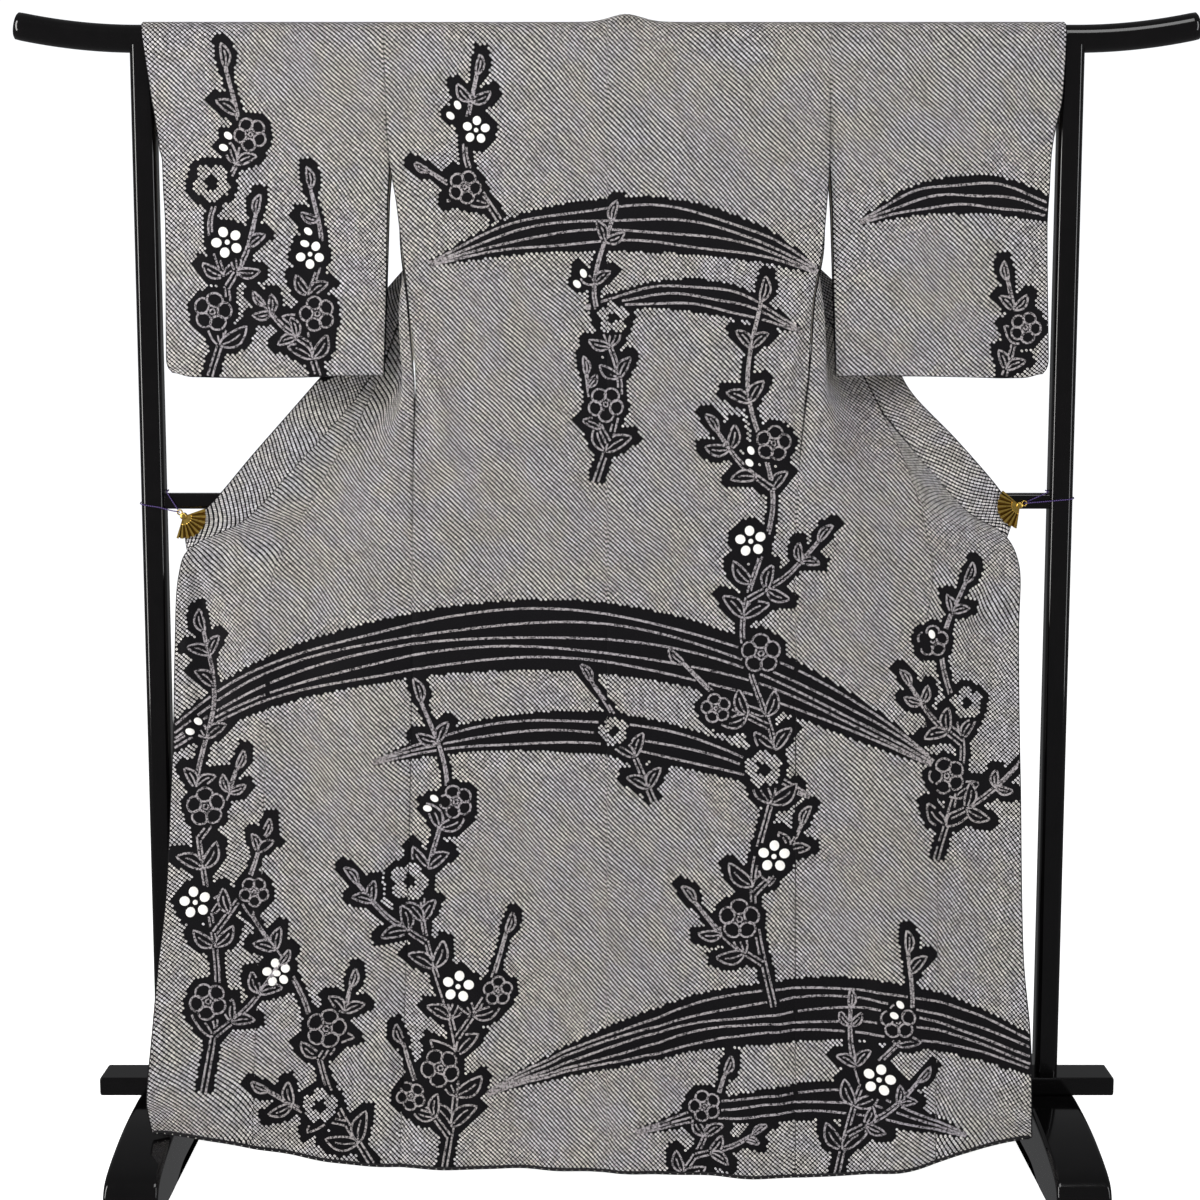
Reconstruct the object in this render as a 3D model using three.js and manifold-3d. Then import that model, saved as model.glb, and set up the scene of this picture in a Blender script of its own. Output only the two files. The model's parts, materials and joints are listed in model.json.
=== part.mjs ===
// Silk kimono hung back-out on a lacquered kimono stand. Millimetres, +Z up, the viewer stands at -Y.
// The garment goes over the rail: its back hangs in front, its fronts hang behind the rail and are swung
// out round the side seams to the two fan clips. Every cloth piece is a real wall, apart at the seams.
import * as THREE from 'three';
import Module from 'manifold-3d';

// ---------------------------------------------------------------- stand sizes
const RAIL_Z = 1601.6;
const RAIL_R = 19;
const RAIL_HALF = 817;
const RAIL_STRAIGHT = 650;
const RAIL_TIP_RISE = 17.5;
const POST_X = 644;
const POST_SIDE = 33.5;
const POST_CORNER = 9;
const MID_Z = 960;
const MID_TALL = 22;
const MID_DEEP = 24;
const BASE_HALF = 740;
const BASE_DEEP = 60;
const BASE_LOW = 92;
const BASE_TALL = 27;
const FOOT_WIDE = 75;
const GAP = 0.3;

// ---------------------------------------------------------------- cloth sizes
const SHELL = 1.6;
const LINING = 1.2;
const COLLAR_THICK = 3;
const RAIL_CLEAR = 0.8;
const WRAP_R = RAIL_R + RAIL_CLEAR + LINING + GAP + SHELL;
const SHOULDER = 307.7;
const ARM_SEAM_Z = 1437;
const SIDE_SEAM_TOP = 1311;
const SLEEVE_LOW = 1136;
const TUCK_Z = 1275;
const TUCK_STEP = 1.6;
const HEM_SWING = 84;
const FACING_TOP = 560;
const HUMP = { x: 26, half: 30, rise: 11 };

// Side seam and overlap seam, distance from the middle at each height, right and left.
const LINES = [
  // z, seamRight, lineRight, seamLeft, lineLeft
  [0, 268, 463, 297, 499],
  [90, 268, 463, 293, 498],
  [255, 267, 465, 288, 494],
  [400, 267, 466, 283, 488],
  [545, 266, 465, 279, 484],
  [640, 266, 449, 277, 480],
  [780, 265, 448, 275, 476],
  [870, 263, 459, 273, 468],
  [947, 265, 443, 272, 427],
  [1034, 270, 415, 270, 376],
  [1104, 276, 380, 268, 338],
  [1135, 280, 362, 268, 322],
  [1242, 286, 300, 276, 286],
  [1311, 298, 255, 284, 250],
  [1378, 304, 214, 292, 212],
  [1437, 307.7, 184, 301.5, 182],
  [1488, 307.7, 152, 305, 151],
  [1601.6, 307.7, 96, 307.7, 96],
];
// Fronts from the shoulder down to the clips, right side: they turn over behind the sleeves.
// Columns: height at the line and at the seam, then distance out and depth of the guides between.
const TURN = [
  // zLine, zSeam, y0, x1, y1, x2, y2, x3, y3, y4
  [1596, 1594, 22.9, 77, 22.9, 154, 22.9, 231, 22.9, 22.9],
  [1593, 1582, 23.4, 116, 23.8, 180, 23.8, 244, 23.6, 23.2],
  [1578, 1566, 25, 146, 26, 200, 26, 254, 25, 23.6],
  [1546, 1541, 28, 165, 30, 212, 30, 260, 28, 24],
  [1490, 1488, 34, 190, 37, 229, 37, 268, 32, 24],
  [1432, 1437, 46, 210, 48, 242, 46, 273, 34, 20],
  [1400, 1408, 57, 208, 45, 239, 40, 272, 27, 11],
  [1366, 1378, 62, 206, 49, 230, 38, 268, 18, 0],
  [1300, 1311, 60, 242, 51, 243, 31, 284, 0, -29],
  [1238, 1244, 52, 278, 46, 268, 20, 301, -17, -36],
  [1176, 1180, 40, 310, 35, 292, 8, 306, -30, -40],
  [1124, 1126, 22, 334, 20, 312, -8, 305, -40, -43],
  [1066, 1068, 2, 362, -3, 334, -24, 306, -46, -46],
  [1002, 1004, -19, 388, -24, 350, -38, 311, -51, -50],
];
// The lower fronts hang from the clips and swing forward to the hem: depth at the overlap seam.
const FALL = [
  // z, y at the overlap seam, y at the front edge
  [935, -27, -21],
  [860, -40, -32],
  [770, -51, -46],
  [660, -64, -63],
  [545, -79, -83],
  [430, -95, -103],
  [320, -109, -121],
  [220, -120, -139],
  [130, -129, -155],
  [60, -135, -163],
  [0, -139, -166],
];
// Lowest edge of the cloth by distance from the middle.
const HEM_RIGHT = [[0, 11], [100, 6], [290, 6], [374, 14], [436, 28], [508, 54], [573, 78], [600, 83]];
const HEM_LEFT = [[0, 11], [150, 12], [300, 15], [372, 25], [449, 44], [529, 67], [600, 85], [650, 91]];
// Outer end of each overlap row: the collar seam from the point down to the clip, then the front edge.
const OVERLAP = {
  right: [
    // zLine, x, y, z
    [1082, 394, 3, 1079],
    [1040, 450, -12, 1012],
    [992, 510, -19, 946],
    [935, 561, -20, 914],
    [872, 583, -28, 868],
    [780, 581, -45, 780],
    [660, 581, -63, 660],
    [545, 582, -83, 545],
    [430, 582, -103, 430],
    [320, 584, -121, 320],
    [220, 592, -139, 220],
    [130, 593, -155, 130],
    [60, 592, -163, 98],
    [0, 592, -166, 83],
  ],
  left: [
    [1150, 331, 31.5, 1143],
    [1103, 366, 13, 1093],
    [1020, 440, -12, 1010],
    [950, 510, -20, 936],
    [905, 588, -20, 896],
    [850, 607, -30, 850],
    [745, 610, -50, 745],
    [640, 611, -67, 640],
    [545, 614, -83, 545],
    [414, 619, -105, 414],
    [315, 629, -123, 315],
    [228, 636, -139, 228],
    [142, 643, -154, 142],
    [60, 640, -163, 116],
    [0, 634, -166, 89],
  ],
};
// Free edge of the collar, from the middle of the neck to the clip, by height on the line beside it.
const COLLAR_EDGE = {
  right: [
    // zLine, x, y, z
    [1596, 0, 32, 1541],
    [1593, 42, 34, 1538],
    [1578, 62, 38, 1530],
    [1546, 76, 46, 1508],
    [1490, 104, 62, 1462],
    [1432, 144, 84, 1416],
    [1366, 206, 108, 1372],
    [1300, 276, 102, 1318],
    [1238, 336, 84, 1262],
    [1176, 380, 62, 1208],
    [1124, 412, 38, 1152],
    [1082, 436, 16, 1108],
    [1040, 494, -9, 1046],
    [992, 548, -19, 984],
    [935, 577, -20, 944],
  ],
  left: [
    [1596, 0, 32, 1541],
    [1593, 42, 34, 1538],
    [1578, 62, 38, 1530],
    [1546, 76, 46, 1508],
    [1490, 104, 62, 1462],
    [1432, 144, 84, 1416],
    [1366, 206, 108, 1372],
    [1300, 272, 102, 1312],
    [1238, 324, 82, 1252],
    [1176, 362, 56, 1194],
    [1150, 380, 44, 1168],
    [1090, 440, 12, 1096],
    [1020, 500, -12, 1026],
    [950, 560, -20, 956],
    [905, 600, -20, 926],
  ],
};
// Largest folds: from (x0, z0) to (x1, z1), half width, height (towards the viewer) at both ends.
const FOLDS = [
  // x0, z0, x1, z1, half, rise0, rise1
  [-205, 1180, -235, 0, 46, 0, 7],
  [-96, 900, -128, 0, 40, 0, -6],
  [14, 760, 30, 0, 44, 0, 5],
  [118, 980, 132, 0, 48, 0, -6],
  [214, 700, 204, 0, 42, 0, 7],
  [352, 900, 372, 0, 38, 7, -8],
  [424, 620, 420, 0, 34, 0, 8],
  [536, 880, 528, 60, 32, -9, -5],
  [-340, 860, -362, 0, 40, 8, 7],
  [-430, 780, -436, 0, 36, -3, -8],
  [-566, 880, -556, 120, 36, -11, 6],
];

// Fan clips: pivot, angles of the two guards (downwards from +X), and the middle of the held cloth.
const CLIPS = {
  right: { x: 583, z: 955, from: 98, to: 220, grip: [568, 948] },
  left: { x: -599, z: 940, from: -18, to: 107, grip: [-587, 928] },
};
const CLIP_Y = -20;

// ---------------------------------------------------------------- helpers
const lerp = (a, b, t) => a + (b - a) * t;
const clamp = (v, a, b) => Math.min(b, Math.max(a, v));
const ease = (t) => t * t * (3 - 2 * t);

function spline(p0, p1, p2, p3, t) {
  const a = 2 * p1;
  const b = p2 - p0;
  const c = 2 * p0 - 5 * p1 + 4 * p2 - p3;
  const d = 3 * p1 - p0 - 3 * p2 + p3;
  return 0.5 * (a + b * t + c * t * t + d * t * t * t);
}

// Smooth value of column k of a table whose first column runs steadily one way.
function look(rows, x, k) {
  const up = rows[rows.length - 1][0] > rows[0][0];
  let i = 0;
  while (i < rows.length - 2 && (up ? x > rows[i + 1][0] : x < rows[i + 1][0])) i += 1;
  const t = clamp((x - rows[i][0]) / (rows[i + 1][0] - rows[i][0]), 0, 1);
  const at = (j) => rows[clamp(j, 0, rows.length - 1)][k];
  return spline(at(i - 1), at(i), at(i + 1), at(i + 2), t);
}

// Smooth point of a list of points at the fraction f of its rows.
function along(points, f) {
  const s = clamp(f, 0, 1) * (points.length - 1);
  const i = Math.min(Math.floor(s), points.length - 2);
  const at = (j) => points[clamp(j, 0, points.length - 1)];
  return [0, 1, 2].map((k) => spline(at(i - 1)[k], at(i)[k], at(i + 1)[k], at(i + 2)[k], s - i));
}

function foldRise(x, z) {
  let rise = 0;
  for (const [x0, z0, x1, z1, half, r0, r1] of FOLDS) {
    const t = (z0 - z) / (z0 - z1);
    if (t > -0.2) {
      const q = clamp(t, 0, 1);
      const away = (x - lerp(x0, x1, q)) / half;
      const fade = ease(clamp((t + 0.2) / 0.3, 0, 1));
      rise += lerp(r0, r1, q) * fade * Math.exp(-away * away);
    }
  }
  return rise;
}

const column = { right: { seam: 1, line: 2 }, left: { seam: 3, line: 4 } };
const seamX = (side, z) => look(LINES, z, column[side].seam);
const lineX = (side, z) => look(LINES, z, column[side].line);
const signOf = (side) => (side === 'right' ? 1 : -1);
const hemZ = (side, x) => look(side === 'right' ? HEM_RIGHT : HEM_LEFT, x, 1);

// Depth of the hanging back: flat against the rail, its hem drawn forward on the floor.
function backY(x, z) {
  const t = clamp((RAIL_Z - z) / RAIL_Z, 0, 1);
  const tuck = z > TUCK_Z ? 0 : TUCK_STEP * Math.exp(-(TUCK_Z - z) / 60);
  return -WRAP_R - (HEM_SWING + 0.03 * x) * t ** 1.25 - foldRise(x, z) + tuck;
}

// ---------------------------------------------------------------- cloth surfaces
// Each returns the outer face as a point; u runs across the piece, f along it from the back hem.
const BACK_ROWS = [0, 45, 95, 155, 225, 305, 395, 480, FACING_TOP, 670, 815, 930, 1040, 1130, 1210, 1262, 1273,
  1278, 1311, 1375, 1437, 1500, 1556, RAIL_Z];
const WRAP_STEPS = 8;

function frontGuides(side) {
  const rows = [];
  const sign = signOf(side);
  const narrower = (z, k) => {
    const change = lerp(lineX(side, z) - lineX('right', z), seamX(side, z) - seamX('right', z), k);
    return z > 1578 ? 0 : change;
  };
  for (const [zLine, zSeam, y0, x1, y1, x2, y2, x3, y3, y4] of TURN) {
    const x0 = { 1596: 0.15, 1593: 50, 1578: 92 }[zLine] ?? lineX(side, zLine);
    const apart = lerp(GAP + 0.1, 3.6, clamp((zSeam - 1000) / 180, 0, 1));
    const x4 = Math.min(seamX(side, zSeam), SHOULDER) + (zSeam <= SIDE_SEAM_TOP ? apart : 0);
    const xs = [x0, x1 + narrower(zLine, 0.25), x2 + narrower(zLine, 0.5), x3 + narrower(zLine, 0.75), x4];
    const ys = [y0, y1, y2, y3, y4];
    rows.push(xs.map((x, j) => {
      const z = lerp(zLine, zSeam, j / 4);
      const sewn = j === 4 && zSeam < SIDE_SEAM_TOP;
      return [sign * x, sewn ? backY(sign * x, z) + 0.6 : ys[j], z];
    }));
  }
  for (const [z, yLine] of FALL) {
    const x0 = lineX(side, z);
    const x4 = seamX(side, z) + GAP + 0.1;
    const row = [];
    for (let j = 0; j < 5; j += 1) {
      const x = lerp(x0, x4, j / 4);
      const zHere = z < 200 ? lerp(hemZ(side, x), 200, z / 200) : z;
      const seamY = backY(sign * x4, zHere);
      const y = lerp(yLine, seamY, ease(j / 4)) - (j > 0 && j < 4 ? foldRise(sign * x, zHere) : 0);
      row.push([sign * x, j === 4 ? seamY : y, zHere]);
    }
    rows.push(row);
  }
  return rows;
}

const GUIDES = { right: frontGuides('right'), left: frontGuides('left') };

function frontPoint(side, u, f) {
  const rows = GUIDES[side];
  const across = rows.map((row) => along(row, u));
  return along(across, f);
}

function backPoint(side, u, z) {
  const sign = signOf(side);
  const edge = Math.min(seamX(side, z), SHOULDER);
  const x = sign * lerp(0.15, edge, u);
  const low = hemZ(side, Math.abs(x));
  const zHere = z < 200 ? lerp(low, 200, z / 200) : z;
  return [x, backY(x, zHere), zHere];
}

function wrapPoint(side, u, angle) {
  const sign = signOf(side);
  const x = sign * lerp(0.15, SHOULDER, u);
  const away = (x - HUMP.x) / HUMP.half;
  const r = WRAP_R + HUMP.rise * Math.exp(-away * away) * Math.sin(angle) ** 4;
  return [x, -r * Math.cos(angle), RAIL_Z + r * Math.sin(angle)];
}

const FRONT_ROWS = 29;
const BODY_ROWS = BACK_ROWS.length + WRAP_STEPS + FRONT_ROWS;
const FIRST_FRONT = BACK_ROWS.length + WRAP_STEPS;

function bodyPoint(side, u, row) {
  const k = Math.floor(row);
  if (row < BACK_ROWS.length) return backPoint(side, u, lerp(BACK_ROWS[k], BACK_ROWS[k + 1] ?? RAIL_Z, row - k));
  const turned = row - BACK_ROWS.length + 1;
  if (turned <= WRAP_STEPS) return wrapPoint(side, u, (Math.PI * turned) / WRAP_STEPS);
  const f = (turned - WRAP_STEPS - 0.5) / (FRONT_ROWS - 0.5);
  return frontPoint(side, u, f);
}

// u = 0 is the middle of the back or the front's outer line, u = 1 the side seam.
function bodyGrid(side, cols, from, to) {
  const grid = [];
  const rows = [from];
  for (let row = Math.floor(from) + 1; row < to; row += 1) rows.push(row);
  rows.push(to);
  for (const row of rows) {
    const line = [];
    for (let c = 0; c <= cols; c += 1) line.push(bodyPoint(side, c / cols, row));
    grid.push(line);
  }
  return grid;
}

const lookPoint = (side, rows, z) => {
  const [x, y, height] = [1, 2, 3].map((k) => look(rows, z, k));
  return [signOf(side) * x, y, height];
};

// The clip holds the cloth flat between its plates.
function pressed(side, p) {
  const grip = CLIPS[side].grip;
  const near = ease(clamp(1 - (Math.hypot(p[0] - grip[0], p[2] - grip[1]) - 34) / 50, 0, 1));
  return [p[0], lerp(p[1], CLIP_Y, near), p[2]];
}

// Rows of the fronts beside which the overlap is sewn, from its point down to the hem.
function overlapStart(side) {
  const top = OVERLAP[side][0][0];
  let row = FIRST_FRONT;
  while (bodyPoint(side, 0, row)[2] > top) row += 1;
  return row;
}

function overlapGrid(side, cols) {
  const grid = [];
  const sign = signOf(side);
  const first = overlapStart(side);
  for (let row = first; row < BODY_ROWS; row += 1) {
    const a = bodyPoint(side, 0, row);
    const zLine = row === BODY_ROWS - 1 ? 0 : lineHeight(side, row);
    const b = lookPoint(side, OVERLAP[side], zLine);
    const line = [];
    for (let c = 0; c <= cols; c += 1) {
      const u = c / cols;
      const p = [0, 1, 2].map((k) => lerp(a[k], b[k], u));
      p[0] += sign * (row === first ? 1.6 : 0.7) * (1 - u);
      if (zLine < 120) p[2] = Math.max(p[2], lerp(hemZ(side, Math.abs(p[0])), p[2], zLine / 120));
      p[1] -= foldRise(p[0], p[2]) * Math.sin(Math.PI * u);
      line.push(pressed(side, p));
    }
    grid.push(line);
  }
  return grid;
}

// Nominal height on the line, which runs past the hem's lift down to zero.
function lineHeight(side, row) {
  const f = (row - FIRST_FRONT + 0.5) / (FRONT_ROWS - 0.5);
  const heights = [...TURN, ...FALL].map((r) => [r[0], 0, 0]);
  return along(heights, f)[0];
}

// Collar band: sewn beside the fronts, then along the overlap's top; from one clip round to the other.
function collarGrid(cols) {
  const grid = [];
  for (const side of ['left', 'right']) {
    const overlap = overlapGrid(side, 1);
    const first = overlapStart(side);
    const clipZ = COLLAR_EDGE[side][COLLAR_EDGE[side].length - 1][0];
    const half = [];
    for (let row = FIRST_FRONT; lineHeight(side, row) > clipZ - 12; row += 1) {
      const sewn = row < first ? bodyPoint(side, 0, row) : overlap[row - first][1];
      const edge = lookPoint(side, COLLAR_EDGE[side], lineHeight(side, row));
      const across = [0, 1, 2].map((k) => edge[k] - sewn[k]);
      const n = Math.hypot(...across);
      const line = [];
      for (let c = 0; c <= cols; c += 1) {
        const t = lerp((row <= first ? 2.9 : 1) / n, 1, c / cols);
        line.push(pressed(side, sewn.map((v, k) => v + across[k] * t)));
      }
      half.push(line);
    }
    if (side === 'left') {
      const middle = [];
      for (let c = 0; c <= cols; c += 1) middle.push([0, lerp(24, 32, c / cols), lerp(1589, 1541, c / cols)]);
      grid.push(...half.reverse(), middle);
    } else {
      grid.push(...half);
    }
  }
  return grid;
}

// Sleeve: a flat bag over the rail, open at the wrist above and at the inner edge.
const SLEEVE_OUT = { right: [[1137, 619], [1312, 614], [1421, 614], [1461, 617], [1519, 628], [1640, 632]],
  left: [[1137, 618], [1312, 616], [1435, 616], [1446, 619], [1519, 629], [1640, 643]] };
const SLEEVE_IN = { right: [[1137, 322], [1243, 318], [1365, 314], [1437, 309.5], [1450, 308], [1640, 308]],
  left: [[1137, 314], [1243, 310], [1380, 306], [1437, 302.5], [1488, 305.6], [1560, 308], [1640, 308]] };

function sleevePoint(side, u, w) {
  // w: 0 bottom, 0.42 front top, 0.58 rear top, 1 bottom again
  const sign = signOf(side);
  const tall = RAIL_Z - SLEEVE_LOW;
  let y;
  let z;
  if (w < 0.42 || w > 0.58) {
    const front = w < 0.42;
    const t = front ? w / 0.42 : (1 - w) / 0.42;
    const belly = Math.min(1, Math.sqrt(t / 0.06));
    z = SLEEVE_LOW + tall * t;
    const shut = ease(clamp((u - 0.8) / 0.2, 0, 1)) * ease(clamp((1400 - z) / 60, 0, 1));
    const mid = lerp(-14, 0, ease(clamp(t / 0.9, 0, 1)));
    const half = lerp(lerp(5.2, WRAP_R, ease(clamp(t / 0.95, 0, 1))), 5.2, shut) * lerp(0.55, 1, belly);
    y = mid + (front ? -half : half);
    z += (1 - belly) * 0.4;
  } else {
    const angle = (Math.PI * (w - 0.42)) / 0.16;
    y = -WRAP_R * Math.cos(angle);
    z = RAIL_Z + WRAP_R * Math.sin(angle);
  }
  const x = lerp(look(SLEEVE_IN[side], z, 1), look(SLEEVE_OUT[side], z, 1), u);
  return [sign * x, y, z];
}

// ---------------------------------------------------------------- solids
function normalsOf(grid, ring) {
  const rows = grid.length;
  const cols = grid[0].length;
  return grid.map((line, r) => line.map((p, c) => {
    const up = grid[ring ? (r + 1) % rows : Math.min(r + 1, rows - 1)][c];
    const down = grid[ring ? (r + rows - 1) % rows : Math.max(r - 1, 0)][c];
    const right = line[Math.min(c + 1, cols - 1)];
    const left = line[Math.max(c - 1, 0)];
    const a = new THREE.Vector3(right[0] - left[0], right[1] - left[1], right[2] - left[2]);
    const b = new THREE.Vector3(up[0] - down[0], up[1] - down[1], up[2] - down[2]);
    return a.cross(b).normalize();
  }));
}

// Wall between two offsets of a grid; `outward` tells which way the outer face looks.
function wall(grid, outward, near, far, ring = false) {
  const normals = normalsOf(grid, ring);
  const rows = grid.length;
  const cols = grid[0].length;
  const pos = [];
  const put = (offset) => grid.forEach((line, r) => line.forEach((p, c) => {
    const n = normals[r][c];
    pos.push(p[0] + outward * n.x * offset, p[1] + outward * n.y * offset, p[2] + outward * n.z * offset);
  }));
  put(-near);
  put(-far);
  const id = (r, c, face) => face * rows * cols + (r % rows) * cols + c;
  const index = [];
  const quad = (a, b, c, d) => {
    if (outward > 0) index.push(a, b, c, a, c, d);
    else index.push(a, c, b, a, d, c);
  };
  const lastRow = ring ? rows : rows - 1;
  for (let r = 0; r < lastRow; r += 1) {
    for (let c = 0; c < cols - 1; c += 1) {
      quad(id(r, c, 0), id(r, c + 1, 0), id(r + 1, c + 1, 0), id(r + 1, c, 0));
      quad(id(r, c, 1), id(r + 1, c, 1), id(r + 1, c + 1, 1), id(r, c + 1, 1));
    }
    quad(id(r, 0, 0), id(r + 1, 0, 0), id(r + 1, 0, 1), id(r, 0, 1));
    quad(id(r, cols - 1, 0), id(r, cols - 1, 1), id(r + 1, cols - 1, 1), id(r + 1, cols - 1, 0));
  }
  if (!ring) {
    for (let c = 0; c < cols - 1; c += 1) {
      quad(id(0, c, 0), id(0, c, 1), id(0, c + 1, 1), id(0, c + 1, 0));
      quad(id(rows - 1, c, 0), id(rows - 1, c + 1, 0), id(rows - 1, c + 1, 1), id(rows - 1, c, 1));
    }
  }
  const geometry = new THREE.BufferGeometry();
  geometry.setAttribute('position', new THREE.Float32BufferAttribute(pos, 3));
  geometry.setIndex(index);
  return geometry;
}

function tube(points, radius, sides, closed) {
  const curve = new THREE.CatmullRomCurve3(points.map((p) => new THREE.Vector3(...p)), closed);
  const steps = Math.min(80, Math.round(curve.getLength() / (radius * 5)));
  const shape = new THREE.Shape();
  for (let i = 0; i < sides; i += 1) {
    const a = (2 * Math.PI * i) / sides;
    if (i === 0) shape.moveTo(radius * Math.cos(a), radius * Math.sin(a));
    else shape.lineTo(radius * Math.cos(a), radius * Math.sin(a));
  }
  return new THREE.ExtrudeGeometry(shape, { steps, extrudePath: curve, bevelEnabled: false });
}

function roundedRect(w, h, r) {
  const s = new THREE.Shape();
  const x = w / 2;
  const y = h / 2;
  s.moveTo(-x + r, -y);
  s.lineTo(x - r, -y);
  s.absarc(x - r, -y + r, r, -Math.PI / 2, 0, false);
  s.lineTo(x, y - r);
  s.absarc(x - r, y - r, r, 0, Math.PI / 2, false);
  s.lineTo(-x + r, y);
  s.absarc(-x + r, y - r, r, Math.PI / 2, Math.PI, false);
  s.lineTo(-x, -y + r);
  s.absarc(-x + r, -y + r, r, Math.PI, 1.5 * Math.PI, false);
  return s;
}

// Bar of a rounded section along X, chamfered at both ends.
function bar(length, deep, tall, corner, bevel) {
  const g = new THREE.ExtrudeGeometry(roundedRect(deep, tall, corner), {
    depth: length - 2 * bevel,
    bevelEnabled: bevel > 0,
    bevelSize: bevel,
    bevelThickness: bevel,
    bevelOffset: -bevel,
    bevelSegments: 3,
    curveSegments: 4,
  });
  g.translate(0, 0, -(length - 2 * bevel) / 2);
  g.rotateX(Math.PI / 2);
  g.rotateZ(Math.PI / 2);
  return g;
}

const wasm = await Module();
wasm.setup();
const { Manifold, Mesh } = wasm;

function toSolid(geometry) {
  const g = geometry.index ? geometry.toNonIndexed() : geometry;
  const pos = g.attributes.position.array;
  const keys = new Map();
  const verts = [];
  const tris = [];
  for (let i = 0; i < pos.length; i += 3) {
    const key = [pos[i], pos[i + 1], pos[i + 2]].map((v) => Math.round(v * 1e4)).join(',');
    if (!keys.has(key)) {
      keys.set(key, verts.length / 3);
      verts.push(pos[i], pos[i + 1], pos[i + 2]);
    }
    tris.push(keys.get(key));
  }
  const kept = [];
  for (let i = 0; i < tris.length; i += 3) {
    const [a, b, c] = [tris[i], tris[i + 1], tris[i + 2]];
    if (a !== b && b !== c && a !== c) kept.push(a, b, c);
  }
  const mesh = new Mesh({ numProp: 3, vertProperties: new Float32Array(verts), triVerts: new Uint32Array(kept) });
  return new Manifold(mesh);
}

function toGeometry(solid) {
  const mesh = solid.getMesh();
  const g = new THREE.BufferGeometry();
  g.setAttribute('position', new THREE.Float32BufferAttribute(Array.from(mesh.vertProperties), 3));
  g.setIndex(Array.from(mesh.triVerts));
  return g;
}

// ---------------------------------------------------------------- the group
const group = new THREE.Group();
const LOOKS = {
  shibori: { color: 0x8a8682, roughness: 0.8, metalness: 0 },
  lining: { color: 0xb9b2a6, roughness: 0.7, metalness: 0 },
  facing: { color: 0x141316, roughness: 0.7, metalness: 0 },
  lacquer: { color: 0x0b0a0c, roughness: 0.12, metalness: 0 },
  gilt: { color: 0xd9a93a, roughness: 0.3, metalness: 1 },
  cord: { color: 0x35215c, roughness: 0.75, metalness: 0 },
};

function add(name, look1, geometry) {
  const mesh = new THREE.Mesh(geometry, new THREE.MeshStandardMaterial(LOOKS[look1]));
  mesh.name = name;
  group.add(mesh);
}

const BODY_COLS = 7;
const SEAM = 0.004;
const LINING_FROM = SHELL + 0.4;
const LINING_TO = LINING_FROM + LINING;
for (const side of ['left', 'right']) {
  const out = signOf(side);
  const last = BODY_ROWS - 1;
  const facingBack = BACK_ROWS.indexOf(FACING_TOP);
  let facingFront = last;
  while (lineHeight(side, facingFront) < FACING_TOP) facingFront -= 1;
  add(`body_${side}`, 'shibori', wall(bodyGrid(side, BODY_COLS, 0, last), out, 0, SHELL));
  add(`lining_${side}`, 'lining',
    wall(bodyGrid(side, BODY_COLS, facingBack + SEAM, facingFront - SEAM), out, LINING_FROM, LINING_TO));
  add(`hem_facing_back_${side}`, 'facing',
    wall(bodyGrid(side, BODY_COLS, 0, facingBack - SEAM), out, LINING_FROM, LINING_TO));
  add(`hem_facing_front_${side}`, 'facing',
    wall(bodyGrid(side, BODY_COLS, facingFront + SEAM, last), out, LINING_FROM, LINING_TO));
  add(`overlap_${side}`, 'shibori', wall(overlapGrid(side, 3), -out, 0, SHELL));
  add(`overlap_lining_${side}`, 'facing', wall(overlapGrid(side, 3), -out, LINING_FROM, LINING_TO));
}
add('collar', 'shibori', wall(collarGrid(2), 1, -COLLAR_THICK / 2, COLLAR_THICK / 2));

for (const side of ['left', 'right']) {
  const grid = [];
  const stations = [0, 0.012, 0.03, 0.06, 0.12, 0.2, 0.28, 0.36, 0.42];
  const over = [1, 2, 3, 4, 5, 6, 7].map((k) => 0.42 + 0.02 * k);
  const ringAt = [...stations, ...over, ...stations.map((w) => 1 - w).reverse().slice(0, -1)];
  for (const w of ringAt) {
    const line = [];
    for (let c = 0; c <= 4; c += 1) line.push(sleevePoint(side, c / 4, w));
    grid.push(line);
  }
  const out = signOf(side);
  add(`sleeve_${side}`, 'shibori', wall(grid, out, 0, SHELL, true));
  add(`sleeve_lining_${side}`, 'lining', wall(grid, out, LINING_FROM, LINING_TO, true));
}

// Rail: round, its ends bent up.
{
  const xs = [];
  for (let x = -RAIL_HALF; x < -RAIL_STRAIGHT; x += 18.5) xs.push(x);
  xs.push(-RAIL_STRAIGHT, RAIL_STRAIGHT);
  for (let x = RAIL_HALF; x > RAIL_STRAIGHT; x -= 18.5) xs.push(x);
  xs.sort((a, b) => a - b);
  const span = RAIL_HALF - RAIL_STRAIGHT;
  const sides = 32;
  const pos = [];
  const index = [];
  xs.forEach((x) => {
    const t = Math.max(0, (Math.abs(x) - RAIL_STRAIGHT) / span);
    const slope = (Math.sign(x) * 2 * RAIL_TIP_RISE * t) / span;
    const n = Math.hypot(1, slope);
    for (let k = 0; k < sides; k += 1) {
      const a = (2 * Math.PI * k) / sides;
      const up = RAIL_R * Math.sin(a);
      pos.push(x - (up * slope) / n, -RAIL_R * Math.cos(a), RAIL_Z + RAIL_TIP_RISE * t * t + up / n);
    }
  });
  const last = xs.length - 1;
  for (let i = 0; i < last; i += 1) {
    for (let k = 0; k < sides; k += 1) {
      const a = i * sides + k;
      const b = i * sides + ((k + 1) % sides);
      index.push(a, a + sides, b, b, a + sides, b + sides);
    }
  }
  for (let k = 1; k < sides - 1; k += 1) {
    index.push(0, k, k + 1);
    index.push(last * sides, last * sides + k + 1, last * sides + k);
  }
  const g = new THREE.BufferGeometry();
  g.setAttribute('position', new THREE.Float32BufferAttribute(pos, 3));
  g.setIndex(index);
  add('rail', 'lacquer', g);
}

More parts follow.
